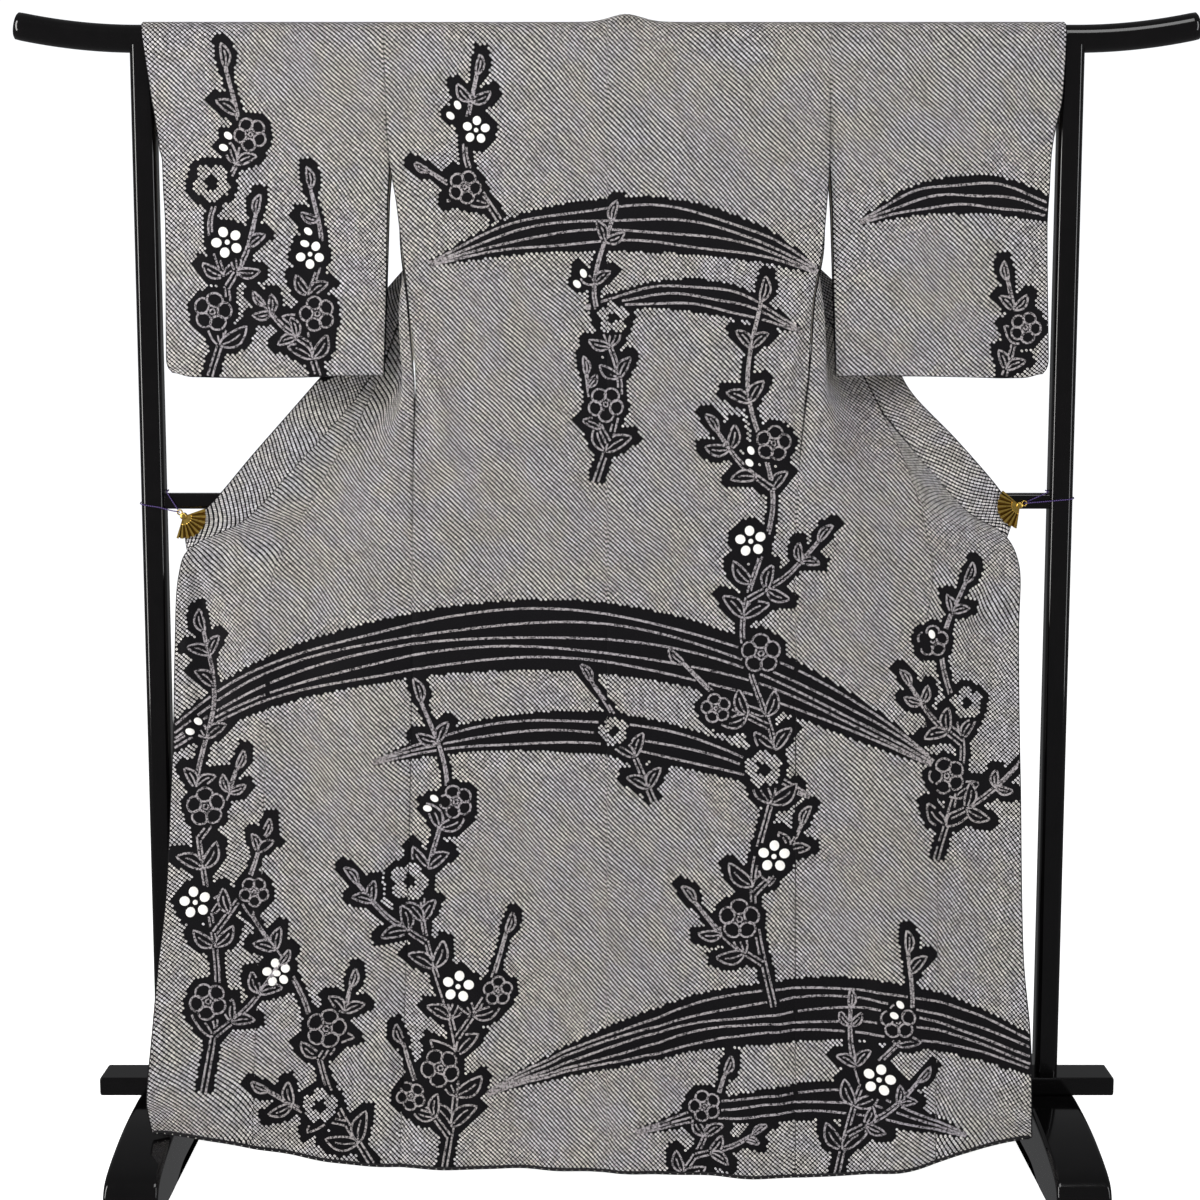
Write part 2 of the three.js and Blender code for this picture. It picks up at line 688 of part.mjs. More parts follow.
// Posts: rounded square, hollowed on top to the rail.
for (const side of ['left', 'right']) {
  const low = BASE_LOW + BASE_TALL + GAP;
  const post = new THREE.ExtrudeGeometry(roundedRect(POST_SIDE, POST_SIDE, POST_CORNER), {
    depth: RAIL_Z - 4 - low,
    bevelEnabled: false,
    curveSegments: 5,
  });
  post.translate(signOf(side) * POST_X, 0, low);
  const seat = new THREE.CylinderGeometry(RAIL_R + GAP, RAIL_R + GAP, 80, 48);
  seat.rotateZ(Math.PI / 2);
  seat.translate(signOf(side) * POST_X, 0, RAIL_Z);
  const cut = toSolid(post).subtract(toSolid(seat));
  const body = cut.decompose().sort((a, b) => b.volume() - a.volume())[0];
  add(`post_${side}`, 'lacquer', toGeometry(body));
}

const midLength = 2 * (POST_X - POST_SIDE / 2 - GAP);
add('middle_bar', 'lacquer', bar(midLength, MID_DEEP, MID_TALL, 5, 0).translate(0, 0, MID_Z));
add('base_bar', 'lacquer', bar(2 * BASE_HALF, BASE_DEEP, BASE_TALL, 5, 3).translate(0, 0, BASE_LOW + BASE_TALL / 2));

// Feet: long blocks with a sloping back, a round toe and a shallow arch below.
const FOOT_TOP = [[40, 92.8], [48, 92.4], [85, 90.5], [125, 87], [163, 81.5], [200, 74], [230, 66], [250, 58.5],
  [262, 50], [269, 38], [271, 24], [270, 8]];
const FOOT_ARCH = [[150, 0], [128, 4], [100, 11], [70, 13], [40, 10], [14, 3]];
for (const side of ['left', 'right']) {
  const s = new THREE.Shape();
  const seatY = BASE_DEEP / 2 + GAP;
  const seatZ = BASE_LOW - GAP;
  s.moveTo(-seatY, seatZ);
  for (const [y, z] of FOOT_TOP) s.lineTo(-y, z);
  s.lineTo(-266, 0);
  for (const [y, z] of FOOT_ARCH) s.lineTo(-y, z);
  for (const [y, z] of [...FOOT_ARCH].reverse()) s.lineTo(y, z);
  s.lineTo(266, 0);
  for (const [y, z] of [...FOOT_TOP].reverse()) s.lineTo(y, z);
  s.lineTo(seatY, seatZ);
  const bevel = 4;
  const foot = new THREE.ExtrudeGeometry(s, {
    depth: FOOT_WIDE - 2 * bevel,
    bevelEnabled: true,
    bevelSize: bevel,
    bevelThickness: bevel,
    bevelOffset: -bevel,
    bevelSegments: 3,
  });
  foot.translate(0, 0, -(FOOT_WIDE - 2 * bevel) / 2);
  foot.rotateX(Math.PI / 2);
  foot.rotateZ(Math.PI / 2);
  foot.translate(signOf(side) * (POST_X + 1), 0, 0);
  add(`foot_${side}`, 'lacquer', foot);
}

// Fan clips: a pleated plate in front, a plain one behind, joined at the pivot, with a ring for the cord.
function fanPlate(from, to, yFront, pleat, r0, r1, thick) {
  const grid = [];
  const steps = 18;
  for (let i = 0; i <= steps; i += 1) {
    const a = (lerp(from, to, i / steps) * Math.PI) / 180;
    const line = [];
    for (const t of [0, 0.32, 0.38, 0.97, 1]) {
      const r = lerp(r0, r1, t) - (t === 1 && i % 2 ? 1.2 : 0);
      const proud = t > 0.35 && i % 2 === 0 ? pleat : 0;
      line.push([r * Math.cos(a), yFront - proud, -r * Math.sin(a)]);
    }
    grid.push(line);
  }
  return wall(grid, 1, 0, thick);
}
for (const side of ['left', 'right']) {
  const c = CLIPS[side];
  const lining = LINING_TO;
  const front = toSolid(fanPlate(c.from, c.to, CLIP_Y - 2.4, 1.1, 3, 32, 1.6));
  const rear = toSolid(fanPlate(c.from, c.to, CLIP_Y + lining + 0.9, 0, 3, 24, 1.2));
  const pin = new THREE.CylinderGeometry(5, 5, lining + 5.6, 20);
  pin.translate(0, CLIP_Y + (lining - 1) / 2, 0);
  const ring = new THREE.TorusGeometry(3.4, 1, 8, 20);
  ring.rotateX(Math.PI / 2);
  const mid = ((c.from + c.to) / 2 / 180) * Math.PI;
  ring.translate(-7.6 * Math.cos(mid), CLIP_Y - 0.5, 7.6 * Math.sin(mid));
  const solid = front.add(rear).add(toSolid(pin)).add(toSolid(ring));
  add(`clip_${side}`, 'gilt', toGeometry(solid).translate(c.x, 0, c.z));
}

// Cords: one loop each, through the clip's ring, round the post and back over the middle bar.
const CORD_ROUTE = [
  // distance past the post's middle (from the ring while it is null), y, height from ring to bar top
  ['ring', 0, -20.5, 0],
  ['ring', 3.6, -23.4, 0.04],
  ['ring', 12, -23, 0.09],
  ['post', -9, -19.8, 0.24],
  ['post', 6, -19.2, 0.32],
  ['post', 15.6, -15.6, 0.38],
  ['post', 18.8, -6, 0.42],
  ['post', 18.8, 6, 0.46],
  ['post', 15.6, 15.6, 0.52],
  ['post', 5, 18.8, 0.62],
  ['post', -7, 18.8, 0.76],
  ['post', -15.8, 15.8, 0.95],
  ['post', -19.4, 5, 1.04],
  ['post', -20.5, -7, 1.04],
  ['post', -22, -15.2, 0.9],
  ['ring', 3.4, -17.4, 0.12],
];
for (const side of ['left', 'right']) {
  const c = CLIPS[side];
  const sign = signOf(side);
  const mid = ((c.from + c.to) / 2 / 180) * Math.PI;
  const x0 = Math.abs(c.x - 7.6 * Math.cos(mid));
  const z0 = c.z + 7.6 * Math.sin(mid);
  const top = MID_Z + MID_TALL / 2 + 3;
  const points = CORD_ROUTE.map(([from, d, y, h]) => [sign * ((from === 'ring' ? x0 : POST_X) + d), y,
    lerp(z0, top, h)]);
  add(`cord_${side}`, 'cord', tube(points, 0.8, 8, true));
}

export default group;
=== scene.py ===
"""Looks of a silk kimono hung over a lacquered stand: tied-spot cloth, pale lining, dark hem facing,
lacquer, gilt fan clips and their cords. Lengths are in millimetres and turned to metres at the mesh."""
import json
import math

import bmesh
import bpy
import numpy as np
from mathutils import Vector
from mathutils.bvhtree import BVHTree
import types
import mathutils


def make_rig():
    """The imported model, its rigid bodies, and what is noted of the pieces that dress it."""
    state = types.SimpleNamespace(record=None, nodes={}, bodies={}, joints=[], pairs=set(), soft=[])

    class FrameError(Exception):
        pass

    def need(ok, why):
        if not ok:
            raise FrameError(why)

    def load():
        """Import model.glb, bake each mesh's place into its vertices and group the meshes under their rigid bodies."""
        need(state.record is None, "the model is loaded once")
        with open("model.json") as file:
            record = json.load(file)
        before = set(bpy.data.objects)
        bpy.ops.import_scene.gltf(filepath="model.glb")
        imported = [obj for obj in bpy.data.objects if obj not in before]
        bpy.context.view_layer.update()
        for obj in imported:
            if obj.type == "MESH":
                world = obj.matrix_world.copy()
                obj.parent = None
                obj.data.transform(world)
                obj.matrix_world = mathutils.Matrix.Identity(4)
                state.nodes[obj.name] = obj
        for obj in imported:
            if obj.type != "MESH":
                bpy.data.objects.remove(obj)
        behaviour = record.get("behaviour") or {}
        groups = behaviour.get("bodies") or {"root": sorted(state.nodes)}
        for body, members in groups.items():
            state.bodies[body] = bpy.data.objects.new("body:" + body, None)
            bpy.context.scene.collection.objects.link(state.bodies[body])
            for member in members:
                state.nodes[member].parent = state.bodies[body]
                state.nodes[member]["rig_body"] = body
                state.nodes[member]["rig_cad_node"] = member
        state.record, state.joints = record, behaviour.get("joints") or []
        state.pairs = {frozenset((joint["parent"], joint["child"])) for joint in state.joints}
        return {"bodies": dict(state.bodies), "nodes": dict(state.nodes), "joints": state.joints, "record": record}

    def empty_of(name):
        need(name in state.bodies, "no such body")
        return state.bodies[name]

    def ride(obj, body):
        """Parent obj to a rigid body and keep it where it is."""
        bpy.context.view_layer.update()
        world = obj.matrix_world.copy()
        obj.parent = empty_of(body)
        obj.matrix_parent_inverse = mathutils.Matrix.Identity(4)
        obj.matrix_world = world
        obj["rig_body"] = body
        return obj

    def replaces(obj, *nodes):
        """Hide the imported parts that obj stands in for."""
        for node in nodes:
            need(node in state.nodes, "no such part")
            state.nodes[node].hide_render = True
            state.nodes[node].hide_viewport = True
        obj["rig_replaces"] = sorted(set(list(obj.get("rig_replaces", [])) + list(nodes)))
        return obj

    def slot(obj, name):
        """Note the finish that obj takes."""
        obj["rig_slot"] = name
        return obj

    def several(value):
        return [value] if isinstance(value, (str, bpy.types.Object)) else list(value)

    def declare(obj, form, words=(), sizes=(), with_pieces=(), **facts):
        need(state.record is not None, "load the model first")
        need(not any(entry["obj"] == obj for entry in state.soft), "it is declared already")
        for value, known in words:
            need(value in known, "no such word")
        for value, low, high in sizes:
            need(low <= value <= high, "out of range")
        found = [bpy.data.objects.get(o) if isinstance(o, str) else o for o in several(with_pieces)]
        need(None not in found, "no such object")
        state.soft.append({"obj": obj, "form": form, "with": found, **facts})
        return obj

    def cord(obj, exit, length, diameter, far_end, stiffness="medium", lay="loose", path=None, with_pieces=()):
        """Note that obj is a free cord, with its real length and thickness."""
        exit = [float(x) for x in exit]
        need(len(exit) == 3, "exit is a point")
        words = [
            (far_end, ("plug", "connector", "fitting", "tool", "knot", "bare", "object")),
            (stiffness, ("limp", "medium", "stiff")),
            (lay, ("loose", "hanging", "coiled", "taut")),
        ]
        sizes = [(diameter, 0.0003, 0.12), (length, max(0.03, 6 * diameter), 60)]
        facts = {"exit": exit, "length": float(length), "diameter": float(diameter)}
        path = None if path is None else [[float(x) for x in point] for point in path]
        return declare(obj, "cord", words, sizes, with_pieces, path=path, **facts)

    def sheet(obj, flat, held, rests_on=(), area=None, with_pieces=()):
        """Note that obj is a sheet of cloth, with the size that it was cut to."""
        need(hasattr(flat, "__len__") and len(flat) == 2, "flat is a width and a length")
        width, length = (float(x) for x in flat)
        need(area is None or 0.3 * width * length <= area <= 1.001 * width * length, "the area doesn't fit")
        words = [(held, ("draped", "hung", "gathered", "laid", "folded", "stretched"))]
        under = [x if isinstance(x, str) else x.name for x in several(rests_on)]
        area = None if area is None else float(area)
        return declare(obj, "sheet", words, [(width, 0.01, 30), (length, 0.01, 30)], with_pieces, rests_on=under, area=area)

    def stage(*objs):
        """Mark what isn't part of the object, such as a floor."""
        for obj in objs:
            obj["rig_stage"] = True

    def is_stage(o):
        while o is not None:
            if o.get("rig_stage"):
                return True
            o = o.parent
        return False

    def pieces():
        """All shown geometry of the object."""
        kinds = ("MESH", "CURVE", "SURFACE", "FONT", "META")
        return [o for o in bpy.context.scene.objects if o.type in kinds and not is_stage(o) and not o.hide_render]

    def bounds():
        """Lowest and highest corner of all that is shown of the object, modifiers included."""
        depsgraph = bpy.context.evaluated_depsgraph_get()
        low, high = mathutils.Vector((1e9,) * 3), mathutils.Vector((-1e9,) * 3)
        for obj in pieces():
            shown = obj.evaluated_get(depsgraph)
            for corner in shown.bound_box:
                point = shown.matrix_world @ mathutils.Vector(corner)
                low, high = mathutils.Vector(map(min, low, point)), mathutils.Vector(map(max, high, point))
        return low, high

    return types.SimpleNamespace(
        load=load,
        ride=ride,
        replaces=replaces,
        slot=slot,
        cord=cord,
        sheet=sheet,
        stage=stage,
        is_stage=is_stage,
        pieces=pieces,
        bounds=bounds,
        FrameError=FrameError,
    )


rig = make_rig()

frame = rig.load()
CAD_BOX = [list(corner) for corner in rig.bounds()]

RAIL_Z = 1601.6
RAIL_R = 19
RAIL_HALF = 817
RAIL_STRAIGHT = 650
RAIL_TIP_RISE = 17.5
POST_X = 644
POST_SIDE = 33.5
POST_CORNER = 9
MID_Z = 960
MID_TALL = 22
MID_DEEP = 24
BASE_HALF = 740
BASE_DEEP = 60
BASE_LOW = 92
BASE_TALL = 27
FOOT_WIDE = 75
GAP = 0.3
SHELL = 1.6
LINING = 1.2
WRAP_R = RAIL_R + 0.8 + LINING + GAP + SHELL
SHOULDER = 307.7
SIDE_SEAM_TOP = 1311
SLEEVE_LOW = 1136
TUCK_Z = 1275
TUCK_STEP = 1.6
HEM_SWING = 84
FACING_TOP = 560
CLIP_Y = -20
DOT = 4.6           # distance from spot to spot of the tied cloth

LINES = [
  # z, seamRight, lineRight, seamLeft, lineLeft
  [0, 268, 463, 297, 499],
  [90, 268, 463, 293, 498],
  [255, 267, 465, 288, 494],
  [400, 267, 466, 283, 488],
  [545, 266, 465, 279, 484],
  [640, 266, 449, 277, 480],
  [780, 265, 448, 275, 476],
  [870, 263, 459, 273, 468],
  [947, 265, 443, 272, 427],
  [1034, 270, 415, 270, 376],
  [1104, 276, 380, 268, 338],
  [1135, 280, 362, 268, 322],
  [1242, 286, 300, 276, 286],
  [1311, 298, 255, 284, 250],
  [1378, 304, 214, 292, 212],
  [1437, 307.7, 184, 301.5, 182],
  [1488, 307.7, 152, 305, 151],
  [1601.6, 307.7, 96, 307.7, 96],
]

TURN = [
  # zLine, zSeam, y0, x1, y1, x2, y2, x3, y3, y4
  [1596, 1594, 22.9, 77, 22.9, 154, 22.9, 231, 22.9, 22.9],
  [1593, 1582, 23.4, 116, 23.8, 180, 23.8, 244, 23.6, 23.2],
  [1578, 1566, 25, 146, 26, 200, 26, 254, 25, 23.6],
  [1546, 1541, 28, 165, 30, 212, 30, 260, 28, 24],
  [1490, 1488, 34, 190, 37, 229, 37, 268, 32, 24],
  [1432, 1437, 46, 210, 48, 242, 46, 273, 34, 20],
  [1400, 1408, 57, 208, 45, 239, 40, 272, 27, 11],
  [1366, 1378, 62, 206, 49, 230, 38, 268, 18, 0],
  [1300, 1311, 60, 242, 51, 243, 31, 284, 0, -29],
  [1238, 1244, 52, 278, 46, 268, 20, 301, -17, -36],
  [1176, 1180, 40, 310, 35, 292, 8, 306, -30, -40],
  [1124, 1126, 22, 334, 20, 312, -8, 305, -40, -43],
  [1066, 1068, 2, 362, -3, 334, -24, 306, -46, -46],
  [1002, 1004, -19, 388, -24, 350, -38, 311, -51, -50],
]

FALL = [
  # z, y at the overlap seam, y at the front edge
  [935, -27, -21],
  [860, -40, -32],
  [770, -51, -46],
  [660, -64, -63],
  [545, -79, -83],
  [430, -95, -103],
  [320, -109, -121],
  [220, -120, -139],
  [130, -129, -155],
  [60, -135, -163],
  [0, -139, -166],
]

HEM_RIGHT = [[0, 11], [100, 6], [290, 6], [374, 14], [436, 28], [508, 54], [573, 78], [600, 83]]

HEM_LEFT = [[0, 11], [150, 12], [300, 15], [372, 25], [449, 44], [529, 67], [600, 85], [650, 91]]

OVERLAP = {
  "right": [
    # zLine, x, y, z
    [1082, 394, 3, 1079],
    [1040, 450, -12, 1012],
    [992, 510, -19, 946],
    [935, 561, -20, 914],
    [872, 583, -28, 868],
    [780, 581, -45, 780],
    [660, 581, -63, 660],
    [545, 582, -83, 545],
    [430, 582, -103, 430],
    [320, 584, -121, 320],
    [220, 592, -139, 220],
    [130, 593, -155, 130],
    [60, 592, -163, 98],
    [0, 592, -166, 83],
  ],
  "left": [
    [1150, 331, 31.5, 1143],
    [1103, 366, 13, 1093],
    [1020, 440, -12, 1010],
    [950, 510, -20, 936],
    [905, 588, -20, 896],
    [850, 607, -30, 850],
    [745, 610, -50, 745],
    [640, 611, -67, 640],
    [545, 614, -83, 545],
    [414, 619, -105, 414],
    [315, 629, -123, 315],
    [228, 636, -139, 228],
    [142, 643, -154, 142],
    [60, 640, -163, 116],
    [0, 634, -166, 89],
  ],
}

COLLAR_NECK = [
  # zLine, x, y, z
  [1596, 0, 32, 1541],
  [1593, 42, 34, 1538],
  [1578, 62, 38, 1530],
  [1546, 76, 46, 1508],
  [1490, 104, 62, 1462],
  [1432, 144, 84, 1416],
  [1366, 206, 108, 1372],
]

COLLAR_EDGE = {
  "right": COLLAR_NECK + [
    [1300, 276, 102, 1318],
    [1238, 336, 84, 1262],
    [1176, 380, 62, 1208],
    [1124, 412, 38, 1152],
    [1082, 436, 16, 1108],
    [1040, 494, -9, 1046],
    [992, 548, -19, 984],
    [935, 577, -20, 944],
  ],
  "left": COLLAR_NECK + [
    [1300, 272, 102, 1312],
    [1238, 324, 82, 1252],
    [1176, 362, 56, 1194],
    [1150, 380, 44, 1168],
    [1090, 440, 12, 1096],
    [1020, 500, -12, 1026],
    [950, 560, -20, 956],
    [905, 600, -20, 926],
  ],
}

FOLDS = [
  # x0, z0, x1, z1, half, rise0, rise1
  [-205, 1180, -235, 0, 46, 0, 7],
  [-96, 900, -128, 0, 40, 0, -6],
  [14, 760, 30, 0, 44, 0, 5],
  [118, 980, 132, 0, 48, 0, -6],
  [214, 700, 204, 0, 42, 0, 7],
  [352, 900, 372, 0, 38, 7, -8],
  [424, 620, 420, 0, 34, 0, 8],
  [536, 880, 528, 60, 32, -9, -5],
  [-340, 860, -362, 0, 40, 8, 7],
  [-430, 780, -436, 0, 36, -3, -8],
  [-566, 880, -556, 120, 36, -11, 6],
]

CLIPS = {
  "right": { "x": 583, "z": 955, "from": 98, "to": 220, "grip": [568, 948] },
  "left": { "x": -599, "z": 940, "from": -18, "to": 107, "grip": [-587, 928] },
}

SLEEVE_OUT = { "right": [[1137, 619], [1312, 614], [1421, 614], [1461, 617], [1519, 628], [1640, 632]],
  "left": [[1137, 618], [1312, 616], [1435, 616], [1446, 619], [1519, 629], [1640, 643]] }

SLEEVE_IN = { "right": [[1137, 322], [1243, 318], [1365, 314], [1437, 309.5], [1450, 308], [1640, 308]],
  "left": [[1137, 314], [1243, 310], [1380, 306], [1437, 302.5], [1488, 305.6], [1560, 308], [1640, 308]] }

CORD_ROUTE = [
  # distance past the post's middle or past the clip's ring, y, height from ring to bar top
  ["ring", 0, -20.5, 0],
  ["ring", 3.6, -23.4, 0.04],
  ["ring", 12, -23, 0.09],
  ["post", -9, -19.8, 0.24],
  ["post", 6, -19.2, 0.32],
  ["post", 15.6, -15.6, 0.38],
  ["post", 18.8, -6, 0.42],
  ["post", 18.8, 6, 0.46],
  ["post", 15.6, 15.6, 0.52],
  ["post", 5, 18.8, 0.62],
  ["post", -7, 18.8, 0.76],
  ["post", -15.8, 15.8, 0.95],
  ["post", -19.4, 5, 1.04],
  ["post", -20.5, -7, 1.04],
  ["post", -22, -15.2, 0.9],
  ["ring", 3.4, -17.4, 0.12],
]

HUMP = { "x": 26, "half": 30, "rise": 11 }
FOOT_TOP = [[40, 92.8], [48, 92.4], [85, 90.5], [125, 87], [163, 81.5], [200, 74], [230, 66], [250, 58.5],
            [262, 50], [269, 38], [271, 24], [270, 8]]
FOOT_ARCH = [[150, 0], [128, 4], [100, 11], [70, 13], [40, 10], [14, 3]]

# Small folds: from (x0, z0) to (x1, z1), half width, height towards the viewer.
CREASES = [
    # x0, z0, x1, z1, half, height
    [-292, 1300, -205, 980, 13, 6.8],
    [-285, 1250, -240, 900, 9, -4.9],
    [-270, 1160, -262, 700, 12, 4.6],
    [286, 1290, 214, 1010, 12, 6.1],
    [280, 1240, 246, 880, 9, -4.6],
    [258, 1100, 250, 640, 11, 4.2],
    [-140, 1262, -180, 1010, 15, 3.4],
    [120, 1262, 160, 1000, 16, -3],
    [-596, 912, -470, 700, 14, 8],
    [-590, 905, -545, 640, 11, -6.8],
    [-570, 930, -400, 830, 13, 6.5],
    [-560, 948, -380, 930, 11, -5.3],
    [-600, 880, -588, 560, 9, 5.3],
    [570, 930, 470, 720, 14, 7.2],
    [575, 915, 540, 640, 11, -6.1],
    [548, 950, 410, 850, 13, 5.7],
    [535, 965, 395, 960, 10, -4.6],
    [-520, 700, -500, 240, 14, -4.9],
    [-450, 560, -440, 120, 16, 5.7],
    [-380, 420, -372, 60, 14, -5.3],
    [-318, 380, -312, 40, 12, 6.1],
    [380, 520, 386, 90, 16, 5.3],
    [486, 620, 474, 150, 14, -5.7],
    [-182, 330, -176, 20, 15, 4.9],
    [-60, 260, -66, 15, 14, -4.6],
    [72, 300, 76, 10, 16, 4.6],
    [164, 240, 160, 8, 13, -4.2],
    [242, 330, 244, 10, 14, 4.9],
    [-250, 1560, -236, 1330, 16, 3],
    [-60, 1590, -54, 1420, 20, -3],
    [90, 1590, 98, 1400, 22, 3],
    [240, 1560, 230, 1340, 16, 2.7],
    [-560, 1480, -552, 1190, 18, 3],
    [-420, 1500, -414, 1180, 20, -3],
    [430, 1500, 436, 1180, 20, 3],
    [560, 1490, 552, 1200, 18, -3],
]
# Mist bands: points (x, z, half width), pointed at both ends, and the number of stitched lines in each.
RIBBONS = [
    ([[-246, 1292, 4], [-110, 1334, 28], [60, 1346, 38], [200, 1322, 26], [296, 1280, 4]], 4),
    ([[-30, 1232, 4], [80, 1250, 20], [180, 1238, 22], [268, 1200, 4]], 3),
    ([[352, 1350, 4], [440, 1382, 22], [540, 1386, 26], [630, 1362, 14]], 3),
    ([[-640, 610, 14], [-480, 706, 34], [-250, 764, 46], [-20, 772, 50], [190, 728, 42], [360, 652, 26],
      [478, 584, 4]], 5),
    ([[-330, 596, 4], [-180, 632, 22], [0, 636, 30], [170, 598, 24], [286, 548, 4]], 3),
    ([[-170, 120, 4], [30, 196, 32], [230, 240, 44], [430, 240, 42], [640, 176, 22]], 5),
    ([[40, 66, 4], [200, 104, 22], [360, 112, 26], [506, 76, 4]], 3),
]
# Branches: stem points, flowers (fraction of the stem, offset, radius, style),
# side shoots (fraction, hand, length), leaf length.
BRANCHES = [
    ([[-236, -10], [-214, 180], [-262, 380], [-226, 560], [-262, 680]],
     [(0.24, 24, 28, "line"), (0.40, -24, 25, "white"), (0.62, 22, 29, "spots"), (0.80, -14, 24, "line")],
     [(0.10, 1, 150), (0.30, -1, 170), (0.50, 1, 130)], 45),
    ([[-330, 10], [-394, 130], [-432, 270], [-500, 380]],
     [(0.30, 20, 26, "spots"), (0.55, -18, 28, "line"), (0.80, 16, 22, "white")],
     [(0.20, 1, 120), (0.45, -1, 110)], 42),
    ([[-566, 140], [-548, 300], [-580, 540], [-556, 680], [-572, 776]],
     [(0.2, 12, 26, "line"), (0.42, 18, 24, "white"), (0.62, -14, 27, "line")],
     [(0.12, -1, 130), (0.34, -1, 150), (0.55, -1, 110)], 42),
    ([[96, -10], [136, 50], [168, 150]], [(0.7, 14, 23, "line")], [(0.3, -1, 90)], 36),
    ([[326, 5], [362, 140], [426, 230], [424, 330]], [(0.46, -16, 25, "white"), (0.72, 16, 25, "line")],
     [(0.18, -1, 130), (0.40, 1, 110)], 40),
    ([[236, 250], [206, 420], [238, 600], [190, 780], [232, 960], [196, 1120], [214, 1240]],
     [(0.13, 22, 29, "line"), (0.22, -24, 25, "white"), (0.34, 18, 28, "spots"), (0.50, -22, 28, "line"),
      (0.66, 20, 24, "white"), (0.80, -16, 25, "line")],
     [(0.06, 1, 130), (0.16, -1, 120), (0.40, 1, 150), (0.58, -1, 130), (0.74, 1, 110)], 45),
    ([[66, 540], [22, 640], [-22, 710]], [(0.6, 12, 22, "spots")], [], 36),
    ([[-16, 990], [18, 1120], [-18, 1250], [6, 1350]], [(0.3, 18, 25, "line"), (0.62, -18, 23, "spots")],
     [(0.16, 1, 100)], 38),
    ([[-150, 1352], [-196, 1440], [-180, 1550]], [(0.30, 16, 23, "line"), (0.66, -14, 21, "white")],
     [(0.2, 1, 80)], 36),
    ([[464, 460], [502, 610], [472, 750], [506, 846]],
     [(0.3, 18, 26, "line"), (0.55, -18, 24, "spots"), (0.78, 14, 22, "line")],
     [(0.16, -1, 120), (0.42, 1, 110)], 40),
    ([[-560, 1130], [-530, 1240], [-552, 1350], [-508, 1450], [-526, 1560]],
     [(0.22, 20, 27, "line"), (0.44, -20, 24, "white"), (0.62, 18, 28, "spots"), (0.8, -14, 23, "line")],
     [(0.3, -1, 110)], 42),
    ([[-404, 1130], [-424, 1220], [-398, 1310], [-412, 1396]],
     [(0.36, -18, 25, "line"), (0.66, 16, 22, "white")], [(0.2, 1, 80)], 38),
    ([[556, 1130], [572, 1200], [560, 1270]], [(0.55, -14, 22, "line")], [], 34),
]
REAR_BRANCHES = [
    ([[-560, 1130], [-530, 1230], [-552, 1330], [-520, 1420]],
     [(0.3, 18, 26, "line"), (0.6, -18, 23, "white")], [(0.4, -1, 100)], 40),
    ([[400, 1130], [430, 1240], [404, 1350], [426, 1440]],
     [(0.3, -18, 26, "line"), (0.55, 18, 26, "spots"), (0.8, -12, 22, "line")], [(0.3, 1, 100)], 40),
]

# ---------------------------------------------------------------- curves and tables


def lerp(a, b, t):
    return a + (b - a) * t


def ease(t):
    t = np.clip(t, 0, 1)
    return t * t * (3 - 2 * t)


def spline(p0, p1, p2, p3, t):
    return 0.5 * (2 * p1 + (p2 - p0) * t + (2 * p0 - 5 * p1 + 4 * p2 - p3) * t * t
                  + (3 * p1 - p0 - 3 * p2 + p3) * t * t * t)


def look(rows, x, k):
    """Smooth value of column k of a table whose first column runs steadily one way."""
    rows = np.array(rows, float)
    if rows[0, 0] > rows[-1, 0]:
        rows = rows[::-1]
    x = np.asarray(x, float)
    last = len(rows) - 1
    i = np.clip(np.searchsorted(rows[:, 0], x, "right") - 1, 0, last - 1)
    t = np.clip((x - rows[i, 0]) / (rows[i + 1, 0] - rows[i, 0]), 0, 1)
    at = lambda j: rows[np.clip(j, 0, last), k]
    return spline(at(i - 1), at(i), at(i + 1), at(i + 2), t)


def along(points, f):
    """Smooth points of a list at the fractions f of its rows; the rows are the first axis."""
    points = np.asarray(points, float)
    last = len(points) - 1
    s = np.clip(np.asarray(f, float), 0, 1) * last
    i = np.minimum(s.astype(int), last - 1)
    t = (s - i).reshape(s.shape + (1,) * (points.ndim - 1))
    at = lambda j: points[np.clip(j, 0, last)]
    return spline(at(i - 1), at(i), at(i + 1), at(i + 2), t)


def fold_rise(x, z):
    rise = 0 * x
    for x0, z0, x1, z1, half, r0, r1 in FOLDS:
        t = (z0 - z) / (z0 - z1)
        q = np.clip(t, 0, 1)
        away = (x - lerp(x0, x1, q)) / half
        rise = rise + lerp(r0, r1, q) * ease((t + 0.2) / 0.3) * np.exp(-away * away)
    return rise


def creases(x, z):
    """Smaller folds and ripples than the solids carry, towards the viewer."""
    rise = 0 * x
    for x0, z0, x1, z1, half, height in CREASES:
        dx, dz = x1 - x0, z1 - z0
        length = math.hypot(dx, dz)
        t = ((x - x0) * dx + (z - z0) * dz) / length ** 2
        off = ((x - x0) * dz - (z - z0) * dx) / length
        off = off + 0.12 * half * np.sin(9 * t + x0)
        swell = ease(t / 0.25) * ease((1 - t) / 0.35)
        rise = rise + height * swell * np.exp(-(off / half) ** 2)
    low = ease((420 - z) / 420)
    ripples = 1.7 * np.sin(x / 23 + 1.3) * np.sin(x / 61 + 0.4) + 1.1 * np.sin(x / 13.7 + z / 160)
    return rise + low * ripples


BACK_ROWS = 230
WRAP_ROWS = 15
FRONT_ROWS = 240
FRONT_START = 0.5 / 29      # where the front leaves the rail, as a fraction of its guide rows
SEAM_COLUMN = {"right": 1, "left": 3}
sign_of = lambda side: 1 if side == "right" else -1
seam_x = lambda side, z: look(LINES, z, SEAM_COLUMN[side])
line_x = lambda side, z: look(LINES, z, SEAM_COLUMN[side] + 1)
hem_z = lambda side, x: look(HEM_RIGHT if side == "right" else HEM_LEFT, x, 1)


